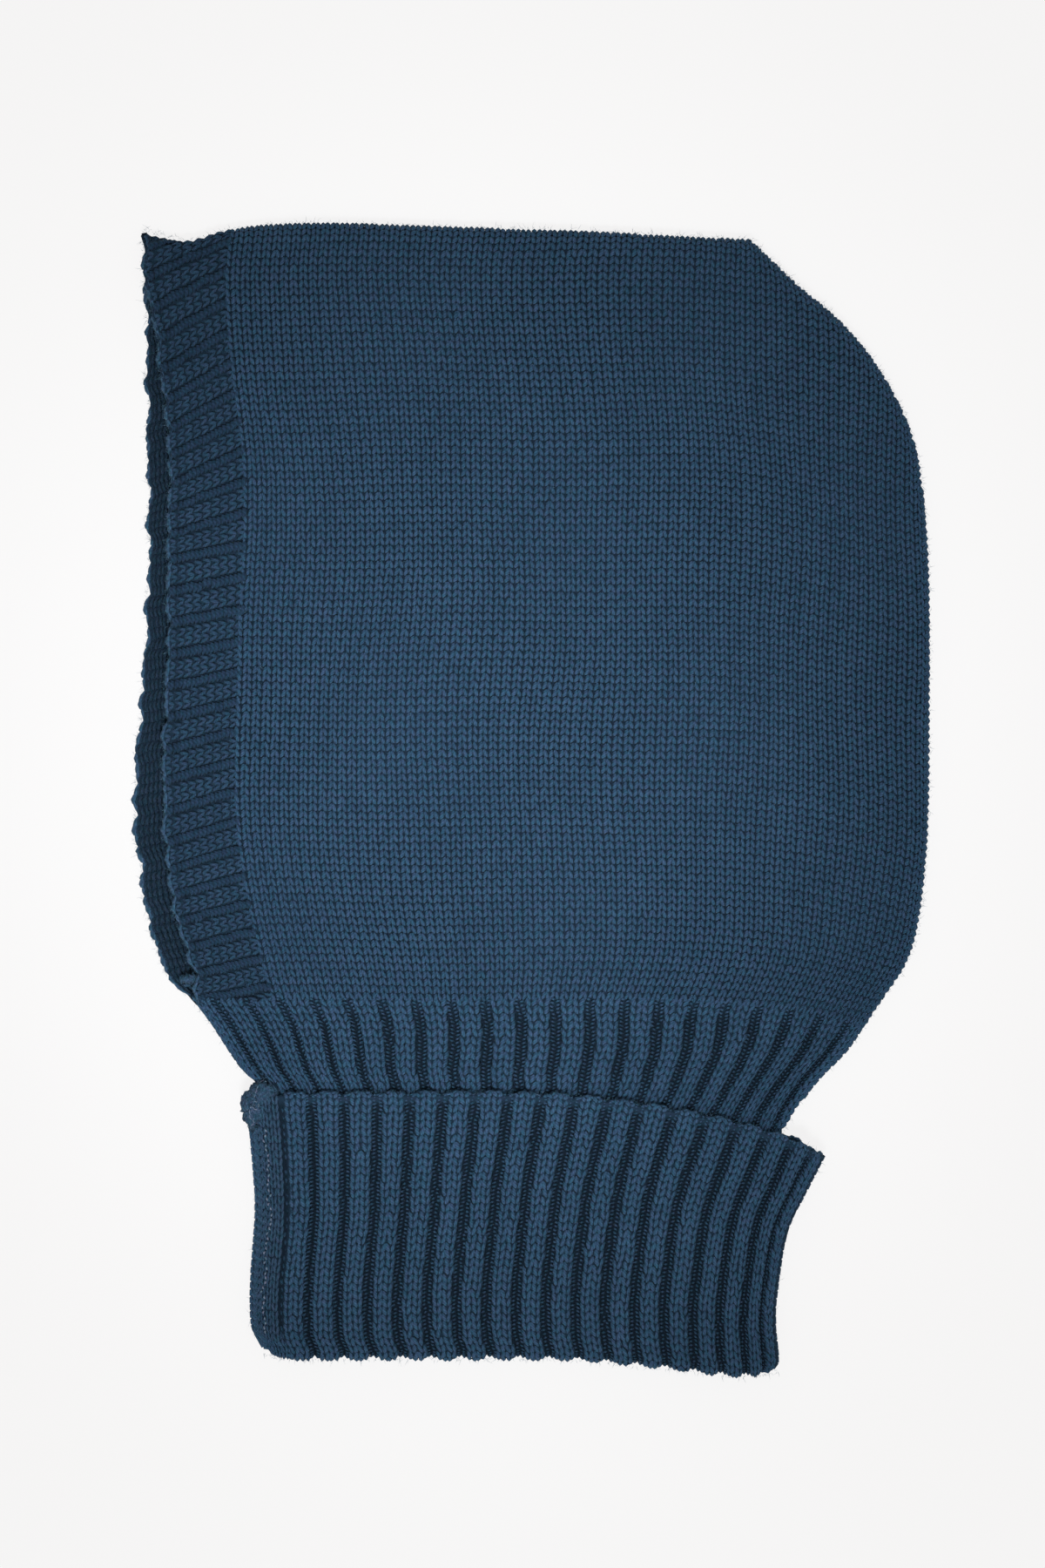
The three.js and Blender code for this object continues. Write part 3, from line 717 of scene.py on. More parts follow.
def yarn_material(name, dark, light, spread=0.1, turns=2.4, sheen=0.06, deep_shade=0.55):
    """Matt plied yarn with a soft bloom of fibres."""
    material = bpy.data.materials.new(name)
    material.use_nodes = True
    tree = material.node_tree
    shader = tree.nodes["Principled BSDF"]
    set_inputs(shader, {
        "Specular IOR Level": 0.12,
        "Sheen Weight": sheen,
        "Sheen Roughness": 0.5,
        "Sheen Tint": SHEEN_TINT,
    })
    dye = tree.nodes.new("ShaderNodeGroup")
    dye.node_tree = dyed_yarn_painted_shade
    set_inputs(dye, {"Dark": (*dark, 1.0), "Light": (*light, 1.0)})
    set_inputs(dye, {"Spread": spread, "Deep Shade": deep_shade})
    twist = tree.nodes.new("ShaderNodeGroup")
    twist.node_tree = yarn_twist
    set_inputs(twist, {"Turns": turns})
    bump = tree.nodes.new("ShaderNodeBump")
    set_inputs(bump, {"Strength": PLY_BUMP, "Distance": PLY_HEIGHT})
    tree.links.new(twist.outputs["Height"], bump.inputs["Height"])
    tree.links.new(twist.outputs["Crest"], dye.inputs["Crest"])
    tree.links.new(dye.outputs["Color"], shader.inputs["Base Color"])
    tree.links.new(dye.outputs["Roughness"], shader.inputs["Roughness"])
    tree.links.new(bump.outputs["Normal"], shader.inputs["Normal"])
    return material


hood_yarn = yarn_material("hood_yarn", (0.0178, 0.0527, 0.1035), (0.0455, 0.1055, 0.1935))
# Ground cloths under the stitches of the hood and of the ribs: darker than the yarn, as painted shade between
# the stitches. The hood's ground also makes the dark cores of the lump and the seam strip's ground.
hood_ground_painted_shade = yarn_material("hood_ground_painted_shade", (0.007, 0.019, 0.038), (0.012, 0.030, 0.056), sheen=0.0)
rib_ground_painted_shade = yarn_material("rib_ground_painted_shade", (0.0095, 0.025, 0.047), (0.017, 0.042, 0.075), sheen=0.0)


def coons(left, right, bottom, top, shares):
    """Grid of plan points between four edges, which are lines of points: rows go evenly up, and columns
    stand at these shares of the way across."""
    u, v = shares[None, :, None], np.linspace(0, 1, len(left))[:, None, None]
    corners = mix(mix(left[0], right[0], u), mix(left[-1], right[-1], u), v)
    return mix(left[:, None], right[:, None], u) + mix(bottom[None], top[None], v) - corners


def moved_out(line, distance):
    """A clockwise line moved outwards."""
    run = unit(np.gradient(line, axis=0))
    return line + np.column_stack([-run[:, 1], run[:, 0]]) * distance


crown_out = moved_out(crown_line, HOOD_EXTRA)
back_out = moved_out(back_line, HOOD_EXTRA)
back_corner = (crown_out[-1] + back_out[0]) / 2
seam_share = np.interp(SEAM_TOP, crown_line[:, 0], np.linspace(0, 1, len(crown_line)))
CROWN_RUN = (CROWN_EDGE[-1][0] - CROWN_EDGE[0][0]) * MM
SEAM_OVERLAP = 0.0006
BAND_STEPS = 8


def both_layers(skins, axis):
    """Skins of the upper layer, carried on past the fold they share by those of the lower one."""
    return [
        np.concatenate([upper, np.delete(np.flip(lower, axis), 0, axis)], axis=axis)
        for upper, lower in zip(*skins)
    ]


def hood_cloth():
    """Thickness of the hood's knitting, as one sheet with both layers."""
    columns, rows = (np.linspace(0, 1, count) for count in HOOD_GRID)
    grids = []
    for layer in (1, -1):
        top = resampled(crown_out, mix(seam_share - SEAM_OVERLAP / CROWN_RUN, 1, columns))
        top[-1] = back_corner
        heights = mix(RIB_LINE, top[0, 1], rows)
        left = np.column_stack([seam_x(layer, heights) - SEAM_OVERLAP, heights])
        left[-1] = top[0]
        right = resampled(back_out, 1 - rows)
        right[0] = (BACK_EDGE[-1][0] * MM + HOOD_EXTRA, RIB_LINE)
        right[-1] = back_corner
        bottom = np.linspace(left[0], right[0], len(columns))
        plan = coons(left, right, bottom, top, columns)
        skins = []
        points = plan.reshape(-1, 2)
        for height in (-CLOTH_DEPTH, -STOCKINETTE_WALL):
            flat = lay(points, height, layer, hood_fold, HOOD_HALF, HOOD_HALF, hood_swell(layer, points))
            skin = deep_points(flat, height).reshape(*plan.shape[:2], 4)
            skin[0, :, 1] = RIB_LINE
            skins.append(skin)
        grids.append(skins)
    return cloth(*both_layers(grids, 1), ("left", "right", "bottom"))


def hood_stitches(layer, first, last, shape, rng):
    """Knit stitches of one layer between two wales, where the cloth has not yet turned over a fold."""
    wale, course = each_pair(np.arange(first, last) + 0.5, np.arange(HOOD_COURSES) + 0.5)
    depth, _, _ = nearest_fold(hood_plan(layer, wale, course), hood_fold)
    keep = depth + HOOD_EXTRA > 0
    return knit(shape, wale[keep], course[keep], hood_place(layer), rng)


rng = np.random.default_rng(SEED)
fine_stitch = v_stitch(4, reach=0.6, head=0.4)
plain_stitch = v_stitch(3, (0.0, 0.2, 0.8, 1.0))
hidden_stitch = v_stitch(3, (0.0, 0.5, 1.0))
# Loose fibres are paler than the yarn, partly as thin fibres are and partly as a painted highlight that gives
# the light rim along the edges
loose_fibre_pale_and_painted_lit = yarn_material("loose_fibre_pale_and_painted_lit", (0.08, 0.18, 0.26), (0.15, 0.28, 0.38))
hood_parts = [
    (hood_cloth(), hood_ground_painted_shade),
    edge_fuzz(crown_line[BAND_STEPS:], HOOD_HALF, HOOD_HALF, rng),
    edge_fuzz(back_line, HOOD_HALF, HOOD_HALF, rng),
]
make_piece("hood_cloth", hood_parts, "hood_body")
for name, layer, first, last, shape in (
    ("hood_stitches_face_side", 1, 0, HOOD_WALES // 2, fine_stitch),
    ("hood_stitches_back_side", 1, HOOD_WALES // 2, HOOD_WALES, fine_stitch),
    ("hood_stitches_under", -1, 0, HOOD_WALES, hidden_stitch),
):
    stitches = [(hood_stitches(layer, first, last, shape, rng), hood_yarn)]
    if layer > 0:
        wale, course = rng.uniform(first, last, TOP_FIBRES), rng.uniform(*TOP_FIBRE_COURSES, TOP_FIBRES)
        starts = hood_place(layer)(wale, course, np.full(TOP_FIBRES, TOP_FIBRE_ROOT))
        stitches.append((fuzz(starts, np.array(TOP_FIBRE_WAY), rng), loose_fibre_pale_and_painted_lit))
    make_piece(name, stitches, "hood_body")


# Face band
# A rib of two raised knit wales and one sunken purl wale, linked to the hood's edge. Its ribs run across it
# and climb towards the hood. It is folded over the crown with the hood, and its free edge is bound off in a
# lip. A small knot of yarn sits at the chin.
RIB_WALL = 0.003
LIP = RIB_WALL / 2
TROUGH_FROM = 0.36
TROUGH_SLOPE = 0.44
PINCH_FROM = 0.3
PINCH_SLOPE = 0.16
GROUND_SKIN = -0.0009
GROUND_RELIEF = 0.75
RIB_CREST = 0.0007
RIB_ROUNDING = 0.0006
RIB_TROUGH = -0.0017
TROUGH_LEAN = 0.0004
PAIR_SPREAD = 0.18
BAND_SPREAD = 0.147
PURL_WIDTH = 0.27
RIB_WANDER = 0.8
LOOP_STEP = 1 / 3
LOOP_WIDTH = 0.36
LIP_VALLEY = -0.0009
LIP_VALLEY_AT = 0.0042
LIP_VALLEY_WIDTH = 0.0012
LIP_GROUND = -0.0004
BAND_RIBS = 27
BAND_COURSES = 9
BAND_FIRST_COURSE = 0.9
BAND_INNER_COURSES = {1: 3, -1: 7}
INNER_WIDTH = 0.3
BAND_REACH = 0.0219
BAND_RELIEF = 0.52
LIP_RELIEF = 0.3
LIP_FLAT = 0.001
LIP_SLOPE = 0.007
BAND_ROWS = 211
BAND_LIP_STEPS = 5
BAND_FLAT_STEPS = 12
FREE_EDGE_STEPS = 60
BAND_LOOPS = (0.1, 26.6)
BAND_CHAIN = 1.1
LOW_RIB_PITCH = 0.0088
BAND_SEAM_SINK = -0.0002
BAND_SEAM_REACH = 0.0022
INNER_RISE = 0.0003
CHIN_KNOT = {"middle": (-0.1139, -0.0597, 0.0062), "half": (0.0031, 0.0016, 0.0034), "lean": 0.0, "yarns": 26}
# Place where painted shade gathers in the crease beside the chin knot
CHIN_CREASE = (-0.1125, -0.0613)
MOUND_CORE = 0.88
# Depth of a mound's core, which only sets its painted shade
MOUND_CORE_PAINTED_SHADE_DEPTH = 1.0
MOUND_CORE_POINTS = 13
MOUND_CORE_SIDES = 24
MOUND_FOOT = 0.02
MOUND_EDGE = 0.9
MOUND_YARN = 0.003
MOUND_YARN_POINTS = 5
MOUND_YARN_WIDTHS = (0.0005, 0.00062, 0.0005)
MOUND_YARN_HEIGHTS = (0.00042, 0.0005, 0.00042)
MOUND_TURN = 0.7
MOUND_BOW = 0.0005
MOUND_HUMP = 0.0003
MOUND_SINK = -0.00035
# Painted shade on the mounds' yarns: random depths, and more of it near a crease; their tone also differs at
# random
MOUND_PAINTED_SHADE_DEPTHS = (0.4, 1.4)
MOUND_TONE = 1.3
CREASE_SHADE = 1.3
CREASE_REACH = 0.0018
EAR_RIB = 25.9
EAR_SLOPE = 0.25
EAR_SINK = -0.0012
LIP_WAVE = {1: 0.00048, -1: 0.0008}

# Bars of a purl stitch: their bow and the levels of two that share a course, in courses
PURL_BOW = 0.32
TWO_BARS = (-0.25, 0.25)

# Bars of a closed-up purl pair: their levels on either side in courses, the places of a bar's tips and
# middle in wales, in courses and in metres of height, and its half width and half height
ZIGZAG_LEVELS = {1: (-0.37, 0.13), -1: (-0.12, 0.38)}
ZIGZAG_ACROSS = (-0.04, 0.3, 0.66)
ZIGZAG_ALONG = (-0.16, 0.0, 0.16)
ZIGZAG_UP = (-0.0005, 0.0001, -0.0005)
ZIGZAG_HALF_WIDTH = 0.00048
ZIGZAG_HALF_HEIGHT = 0.0004

# Waves of the free edge: share, radians to a metre, start, and shift from layer to layer
LIP_WAVES = [(0.6, 410, 0.0, 2.1), (0.5, 247, 0.8, 0.0), (0.35, 763, 0.0, 1.0)]

# Ribs of the band, their height above the rib line at the free edge and their climb from there to the hood,
# both in millimetres
BAND_RIB_ROWS = {
    "rib": (0, 3, 6, 9, 12, 15, 18, 21, 25, 27),
    "low": (0.0, 26.1, 51.9, 83.2, 114.7, 146.6, 171.6, 199.1, 239.9, 260.5),
    "rise": (4.4, 5.9, 7.6, 5.9, 4.4, 4.9, 11.0, 12.6, 12.2, 11.0),
}


def trough(rib, pinch=0.0):
    """1 in the trough between two ribs, at whole numbers, and 0 on their crests, at half numbers. A pinch
    of 1 closes the trough up to a narrow line."""
    away = np.abs(rib - np.floor(rib) - 0.5) * 2
    return ease((away - TROUGH_FROM - PINCH_FROM * pinch) / (TROUGH_SLOPE - PINCH_SLOPE * pinch))


def rib_relief(rib, pinch=0.0):
    """How far a rib's cloth rises, rounds off to its sides, and sinks, deepest on the left side of a
    trough."""
    away = np.abs(rib - np.floor(rib) - 0.5) * 2
    bottom = RIB_TROUGH + TROUGH_LEAN * np.sin(2 * math.pi * rib)
    return mix(RIB_CREST - RIB_ROUNDING * away ** 2, bottom, trough(rib, pinch))


def band_edges(layer, y):
    """Free edge and seam of the band at height y. The free edge waves a little, more on the lower layer."""
    free = x_at(face_line["upper" if layer > 0 else "lower"], y)
    wave = sum(part * np.sin(y * turns + start + shift * layer) for part, turns, start, shift in LIP_WAVES)
    return free + LIP_WAVE[layer] * wave, seam_x(layer, y)


def band_row(rib, name):
    """Value of a rib in the band's table, in metres."""
    return np.interp(rib, BAND_RIB_ROWS["rib"], BAND_RIB_ROWS[name]) * MM


def band_plan(layer, rib, inside):
    """Plan place on a rib, at this distance from the free edge of a band of even width."""
    low = RIB_LINE + band_row(rib, "low") + np.minimum(rib, 0) * LOW_RIB_PITCH
    y = low + band_row(rib, "rise") * inside / BAND_REACH
    free, seam = band_edges(layer, y)
    return np.column_stack([free + inside * (seam - free) / BAND_REACH, y])


def band_relief(rib, course):
    """Relief of the band: weaker at its lip, sunk beside the lip, even at the hood, and sunk in the crown's
    ear."""
    run = course * COURSE
    rise = rib_relief(rib) * mix(LIP_RELIEF, BAND_RELIEF, ease((np.abs(run) - LIP_FLAT) / LIP_SLOPE))
    valley = LIP_VALLEY * np.exp(-((run - LIP_VALLEY_AT) / LIP_VALLEY_WIDTH) ** 2)
    rise = mix(rise + valley, BAND_SEAM_SINK, ease(1 - (BAND_REACH - run) / BAND_SEAM_REACH))
    return mix(rise, EAR_SINK, ease((rib - EAR_RIB) / EAR_SLOPE))


def band_place(layer):
    def place(rib, course, height):
        inside, rise = bend(course * COURSE, LIP, height)
        plan = band_plan(layer, rib, inside)
        return lay(plan, rise - LIP, layer, hood_fold, HOOD_HALF, HOOD_HALF)
    return place


def bar(across, along, bow, ends, rise, half_width, half_height, tip, sides=4):
    """Short bowed length of yarn. It reaches from minus to plus these shares of a wale across and of a
    course along, bows by a share of a course, and rises by this much from the height of its ends. The outer
    two of its three rings have this share of its half width and half height."""
    reach = np.linspace(-1, 1, 5)
    hump = np.cos(math.pi * reach / 2)
    path = np.column_stack([across * reach * WALE, (along * reach + bow * hump) * COURSE, ends + rise * hump])
    full = np.array([tip, 1.0, tip])
    return strand(path, half_width * full, half_height * full, sides)


def purl_stitch(half_width=0.0011, sides=4, levels=(0.0,), ends=-0.00095):
    """Head of a purl stitch: bowed bars across the wale at these levels, which fill it from course to
    course."""
    head = bar(
        across=0.72, along=0.0, bow=PURL_BOW, ends=ends, rise=0.00045,
        half_width=half_width, half_height=0.0004, tip=0.8, sides=sides,
    )
    return joined([moved(head, level - PURL_BOW / 2) for level in levels])


def purl_pair():
    """A course of two purl wales that have closed up into one groove: four short bars in a zigzag."""
    bars = []
    for side, levels in ZIGZAG_LEVELS.items():
        across = np.array(ZIGZAG_ACROSS) * WALE * side
        for level in levels:
            along = (level + np.array(ZIGZAG_ALONG)) * COURSE
            path = np.column_stack([across, along, ZIGZAG_UP])
            bars.append(strand(path, [ZIGZAG_HALF_WIDTH], [ZIGZAG_HALF_HEIGHT]))
    return joined(bars)


def moved(shape, courses):
    """The same stitch, moved up by this many courses."""
    return {**shape, "points": shape["points"] + (0.0, courses * COURSE, 0.0)}


def edge_stitch(girth):
    """Stitch of a bound-off edge: a thick slanting length of the chain that runs along the lip."""
    return bar(
        across=0.8, along=0.3, bow=0.0, ends=-0.0006, rise=0.0004,
        half_width=0.0012 * girth, half_height=0.0007 * girth, tip=0.84,
    )


def turned(shape):
    """The same stitch, turned upside down in its own cloth."""
    return {**shape, "points": shape["points"] * np.array([-1.0, -1.0, 1.0])}


def ribbing(ribs, courses, place, relief, keep, rng, shapes, yarns, spread=PAIR_SPREAD):
    """Knit pairs and sunken purl wales over these ribs and courses, where keep(rib, course) allows, each
    with its shape and yarn. Ribs are given by their left troughs."""
    parts = []
    for offset, kind, width in (
        (0.5 - spread, 0, 2 * spread),
        (0.5 + spread, 0, 2 * spread),
        (1.0, 1, PURL_WIDTH),
    ):
        rib, course = each_pair(np.asarray(ribs) + offset, courses)
        wanted = keep(rib, course)
        stitches = knit(shapes[kind], rib[wanted], course[wanted], place, rng, width, RIB_WANDER, relief)
        parts.append((stitches, yarns[kind]))
    return parts


def bound_off(first, last, girth, place, relief, keep, rng):
    """Chain of stitches along a bound-off edge between two ribs, three to a rib, where keep allows."""
    loops = np.arange(first, last, LOOP_STEP)
    level = np.zeros(len(loops))
    wanted = keep(loops, level)
    return knit(edge_stitch(girth), loops[wanted], level[wanted], place, rng, LOOP_WIDTH, relief=relief)


def band_keep(layer):
    def keep(rib, course):
        plan = band_plan(layer, rib, course * COURSE)
        depth, _, _ = nearest_fold(plan, hood_fold)
        return (depth + HOOD_EXTRA > 0) & (plan[:, 1] > RIB_LINE)
    return keep


def band_cloth():
    """Ground of the band: a strip closed round its free edge, from the chin over the crown and back."""
    seam_end = BAND_REACH - GROUND_SKIN
    runs = np.concatenate([
        np.linspace(0, LIP * math.pi / 2, BAND_LIP_STEPS), np.linspace(RIB_WALL, seam_end, BAND_FLAT_STEPS),
    ])
    rows = np.linspace(0, 1, BAND_ROWS)
    grids = []
    for layer in (1, -1):
        skins = []
        for way in (1, -1):
            inside, _ = bend(way * runs, LIP, GROUND_SKIN)
            shares = inside / BAND_REACH
            top = resampled(crown_out, np.maximum(shares, 0) * seam_share)
            heights = mix(RIB_LINE, top[0, 1], rows)
            free, seam = band_edges(layer, heights)
            free[-1], seam[-1] = top[0, 0], top[-1, 0]
            side = np.column_stack([free, heights])
            far = np.column_stack([seam, mix(RIB_LINE, top[-1, 1], rows)])
            bottom = np.column_stack([mix(free[0], seam[0], shares), np.full(len(runs), RIB_LINE)])
            plan = coons(side, far, bottom, top, shares)
            lows = RIB_LINE + np.array(BAND_RIB_ROWS["low"]) * MM
            rib = np.interp(plan[..., 1], lows, BAND_RIB_ROWS["rib"])
            for _ in range(SETTLING_ROUNDS):
                rib = np.interp(plan[..., 1] - band_row(rib, "rise") * shares, lows, BAND_RIB_ROWS["rib"])
            sunk = GROUND_RELIEF * band_relief(rib, runs / COURSE) if way > 0 else 0 * rib
            ground = mix(LIP_GROUND, GROUND_SKIN, ease(runs / LIP_VALLEY_AT))
            _, rise = bend(way * np.broadcast_to(runs, rib.shape), LIP, ground + sunk)
            flat = lay(plan.reshape(-1, 2), (rise - LIP).ravel(), layer, hood_fold, HOOD_HALF, HOOD_HALF)
            skins.append(deep_points(flat, (ground + sunk).ravel()).reshape(*plan.shape[:2], 4))
        grids.append(skins)
    return cloth(*both_layers(grids, 0), ("right", "bottom", "top"))


band_yarn = yarn_material("band_yarn", (0.0135, 0.039, 0.079), (0.037, 0.086, 0.157), deep_shade=0.6)
# Painted shade: the purl bars in the band's troughs, and the ground below its stitches and the chin knot's
# core, are darker copies of the band's yarn
band_purl_painted_shade = yarn_material("band_purl_painted_shade", (0.0095, 0.028, 0.058), (0.023, 0.056, 0.106), deep_shade=0.3)
band_ground_painted_shade = yarn_material("band_ground_painted_shade", (0.0085, 0.024, 0.046), (0.016, 0.040, 0.073), sheen=0.0)
# Painted highlight: the bound-off lip and the chin knot are a lighter copy of the same yarn, as they catch
# the light
lip_yarn_painted_highlight = yarn_material("lip_yarn_painted_highlight", (0.022, 0.062, 0.116), (0.056, 0.122, 0.212), deep_shade=0.3)
band_stitch = v_stitch(
    4, (0.0, 0.07, 0.5, 0.93, 1.0), width=0.00074, reach=0.5, foot=0.0, head=0.48, taper=0.15,
)
# Painted shade: the band's inner face, which lies in the shade of the upper layer, is a darker copy of the
# yarn
inner_yarn_painted_shade = yarn_material("inner_yarn_painted_shade", (0.009, 0.024, 0.046), (0.022, 0.050, 0.088))
rib_stitch = v_stitch(4)
purl_bar = purl_stitch()
band_bar = purl_stitch(half_width=0.001, levels=TWO_BARS, ends=-0.0004)
inner_bar = purl_stitch(half_width=0.00058, levels=TWO_BARS)


def inner_relief(rib, course):
    """The inner face of the band is flat."""
    return np.full(len(rib), INNER_RISE)


def mound_top(mounds, plan, height):
    """Points of the plan raised to the surface of mounds of yarn, and to the cloth beside them."""
    tops = []
    for mound in mounds:
        middle, half = np.array(mound["middle"]), mound["half"]
        offset = plan - middle[:2]
        across = (offset[:, 0] - mound["lean"] * offset[:, 1]) / half[0]
        dome = 1 - across ** 2 - (offset[:, 1] / half[1]) ** 2
        tops.append(middle[2] + half[2] * np.sqrt(np.clip(dome, MOUND_FOOT, 1)))
    return np.column_stack([plan, np.max(tops, axis=0) + height])


def toned(part, tone, deep):
    """A length of yarn with one tone and one depth in millimetres, which only sets its painted shade."""
    count = len(part["points"])
    return {**part, "tone": np.full(count, tone), "deep": np.full(count, deep)}


def mound_core(mound):
    """Closed body of a mound below its yarns, with a depth that only sets its painted shade."""
    angle = np.linspace(0, math.pi, MOUND_CORE_POINTS)
    half = MOUND_CORE * np.array(mound["half"])
    along = -np.cos(angle) * half[1]
    path = mound["middle"] + np.column_stack([mound["lean"] * along, along, np.zeros(len(angle))])
    full = np.sin(angle[1:-1])
    core = strand(path, half[0] * full, half[2] * full, MOUND_CORE_SIDES)
    return toned(core, 0.0, MOUND_CORE_PAINTED_SHADE_DEPTH)


def mound_yarns(mounds, crease, rng):
    """Short bowed lengths of yarn crowded over mounds, with painted shade that varies at random and gathers
    in the crease between them.
    """
    parts = []
    steps = np.linspace(-0.5, 0.5, MOUND_YARN_POINTS)
    for mound in mounds:
        for _ in range(mound["yarns"]):
            angle, reach = rng.uniform(0, 2 * math.pi), math.sqrt(rng.uniform(0, 1)) * MOUND_EDGE
            offset = np.array([math.cos(angle), math.sin(angle)]) * reach * mound["half"][:2]
            offset[0] += mound["lean"] * offset[1]
            middle = mound["middle"][:2] + offset
            heading = math.pi / 2 + rng.normal(0, MOUND_TURN)
            bow = rng.normal(0, MOUND_BOW) * (1 - (steps * 2) ** 2)
            along = np.outer(steps * MOUND_YARN, [math.cos(heading), math.sin(heading)])
            side = np.outer(bow, [-math.sin(heading), math.cos(heading)])
            hump = MOUND_HUMP * np.cos(math.pi * steps) + MOUND_SINK
            path = mound_top(mounds, middle + along + side, hump)
            part = strand(path, MOUND_YARN_WIDTHS, MOUND_YARN_HEIGHTS)
            near_crease = math.exp(-(math.dist(middle, crease) / CREASE_REACH) ** 2)
            deep = rng.uniform(*MOUND_PAINTED_SHADE_DEPTHS) + CREASE_SHADE * near_crease
            parts.append(toned(part, rng.normal(0, MOUND_TONE), deep))
    return joined(parts)


band_parts = [
    (band_cloth(), band_ground_painted_shade), (mound_core(CHIN_KNOT), band_ground_painted_shade),
    (mound_yarns([CHIN_KNOT], CHIN_CREASE, rng), lip_yarn_painted_highlight),
]
for layer in (1, -1):
    place, keep = band_place(layer), band_keep(layer)
    band_parts += ribbing(
        range(-1, BAND_RIBS), BAND_FIRST_COURSE + np.arange(BAND_COURSES), place, band_relief, keep, rng,
        (turned(band_stitch), band_bar), (band_yarn, band_purl_painted_shade), BAND_SPREAD,
    )
    band_parts.append((bound_off(*BAND_LOOPS, BAND_CHAIN, place, band_relief, keep, rng), lip_yarn_painted_highlight))
    inner_courses = BAND_FIRST_COURSE + np.arange(BAND_INNER_COURSES[layer])
    rib, course = each_pair(np.arange(0, BAND_RIBS, LOOP_STEP), -inner_courses)
    wanted = keep(rib, -course)
    inner_bars = knit(inner_bar, rib[wanted], course[wanted], place, rng, INNER_WIDTH, relief=inner_relief)
    band_parts.append((inner_bars, inner_yarn_painted_shade))
    rows = np.linspace(RIB_LINE, FACE_TOP, FREE_EDGE_STEPS)
    free_edge = np.column_stack([band_edges(layer, rows)[0], rows])
    band_parts.append(edge_fuzz(free_edge, HOOD_HALF + layer * (HOOD_HALF - LIP), LIP, rng))
band_parts.append(edge_fuzz(crown_line[:BAND_STEPS + 1], HOOD_HALF, HOOD_HALF, rng))
make_piece("face_band_knit", band_parts, "face_band")


# Neck
# The same rib knitted on from the hood's last course as a flat tube, which narrows and runs down inside the
# turned cuff. It sinks into a crease along the cuff's edge.
NECK_RIBS = 21
NECK_PHASE = {1: 0.0, -1: 0.5}
FOLD_MARGIN = 0.0012
NECK_COURSES = {1: 20, -1: 12}
NECK_FIRST_COURSE = -0.2
NECK_EDGE_STEPS = {"left": 20, "right": 40}
RIB_STEPS = 10
HOLLOW_SKIN = -0.0027
RIB_START = {"rib": (0, 2, 5, 19, 21), "courses": (9.0, 7.0, 2.5, 2.5, 5.0)}
RIB_CROWDING = (0.006, 0.028)
CROWDING_REACH = 0.03
NECK_CREASE = -0.0006
NECK_CREASE_REACH = 0.003
NECK_PINCH = (3, 7)
NECK_FLATTENING = 0.55
NECK_FLAT_REACH = 0.008
NECK_GROUND_TOP = 0.0006
NECK_GROUND_FINE = -0.046
NECK_GROUND_END = -0.106
NECK_FINE_ROWS = 27
NECK_COARSE_ROWS = 8
CUFF_TOP_EDGE = [(-95.0, -97.7), (-50.0, -97.2), (8.0, -97.7), (50.0, -103.0), (85.0, -112.0), (97.4, -118.5)]

neck_fold = folded_edge(neck_left_line[::-1], back_and_neck)
cuff_top_line = smooth_line(CUFF_TOP_EDGE)


def neck_x(rib, y):
    """Where a rib runs at height y. The ribs crowd a little towards both folds as the neck narrows."""
    left = x_at(neck_left_line, y) - HOOD_EXTRA
    right = x_at(back_and_neck, y) + HOOD_EXTRA
    share = rib / NECK_RIBS
    crowding = mix(*RIB_CROWDING, ease((RIB_LINE - y) / CROWDING_REACH))
    return mix(left, right, share - crowding * np.sin(2 * math.pi * share))


def neck_plan(rib, course):
    """Plan place on a rib of the neck. Courses are counted up from the hood's edge, so they are negative."""
    level = RIB_LINE + course * COURSE
    y = level
    for _ in range(SETTLING_ROUNDS - 1):
        y = level - droop(neck_x(rib, y))
    return np.column_stack([neck_x(rib, y), y])


def neck_relief(layer):
    """Relief of the neck: its ribs start flat under the hood, and flatten and sink beside the cuff's edge."""
    def relief(rib, course):
        plan = neck_plan(rib, course)
        above_cuff = plan[:, 1] - np.interp(plan[:, 0], cuff_top_line[:, 0], cuff_top_line[:, 1]) - LIP
        crease = NECK_CREASE * ease(1 - above_cuff / NECK_CREASE_REACH)
        start = np.interp(rib, RIB_START["rib"], RIB_START["courses"])
        strength = ease(-course / start) * (1 - NECK_FLATTENING * ease(1 - above_cuff / NECK_FLAT_REACH))
        pinch = ease((NECK_PINCH[1] - rib) / (NECK_PINCH[1] - NECK_PINCH[0]))
        return rib_relief(rib - NECK_PHASE[layer], pinch) * strength + crease
    return relief


def neck_place(layer):
    def place(rib, course, height):
        plan = neck_plan(rib, course)
        return lay(plan, height, layer, neck_fold, HOOD_HALF, knit_middle(plan[:, 1]))
    return place


def neck_keep(layer):
    def keep(rib, course):
        depth, _, _ = nearest_fold(neck_plan(rib, course), neck_fold)
        return depth + HOOD_EXTRA > FOLD_MARGIN * layer
    return keep


def neck_skin(layer, ribs, rows, outer):
    """One skin of the neck's ground, in straight rows that start under the hood's last stitches."""
    rib, y = each_pair(ribs, rows)
    x = neck_x(rib, y)
    height = np.full(len(x), HOLLOW_SKIN)
    if outer:
        course = (y + droop(x) - RIB_LINE) / COURSE
        height = GROUND_SKIN + GROUND_RELIEF * neck_relief(layer)(rib, np.minimum(course, 0))
    skin = lay(np.column_stack([x, y]), height, layer, neck_fold, HOOD_HALF, knit_middle(y))
    return deep_points(skin, height).reshape(len(rows), len(ribs), 4)


def round_tube(skin_at, ribs):
    """Both layers of a flat tube as one grid: under the lower one from left to right, and back over the
    upper."""
    return np.concatenate([skin_at(-1, ribs), skin_at(1, ribs[::-1])[:, 1:]], axis=1)


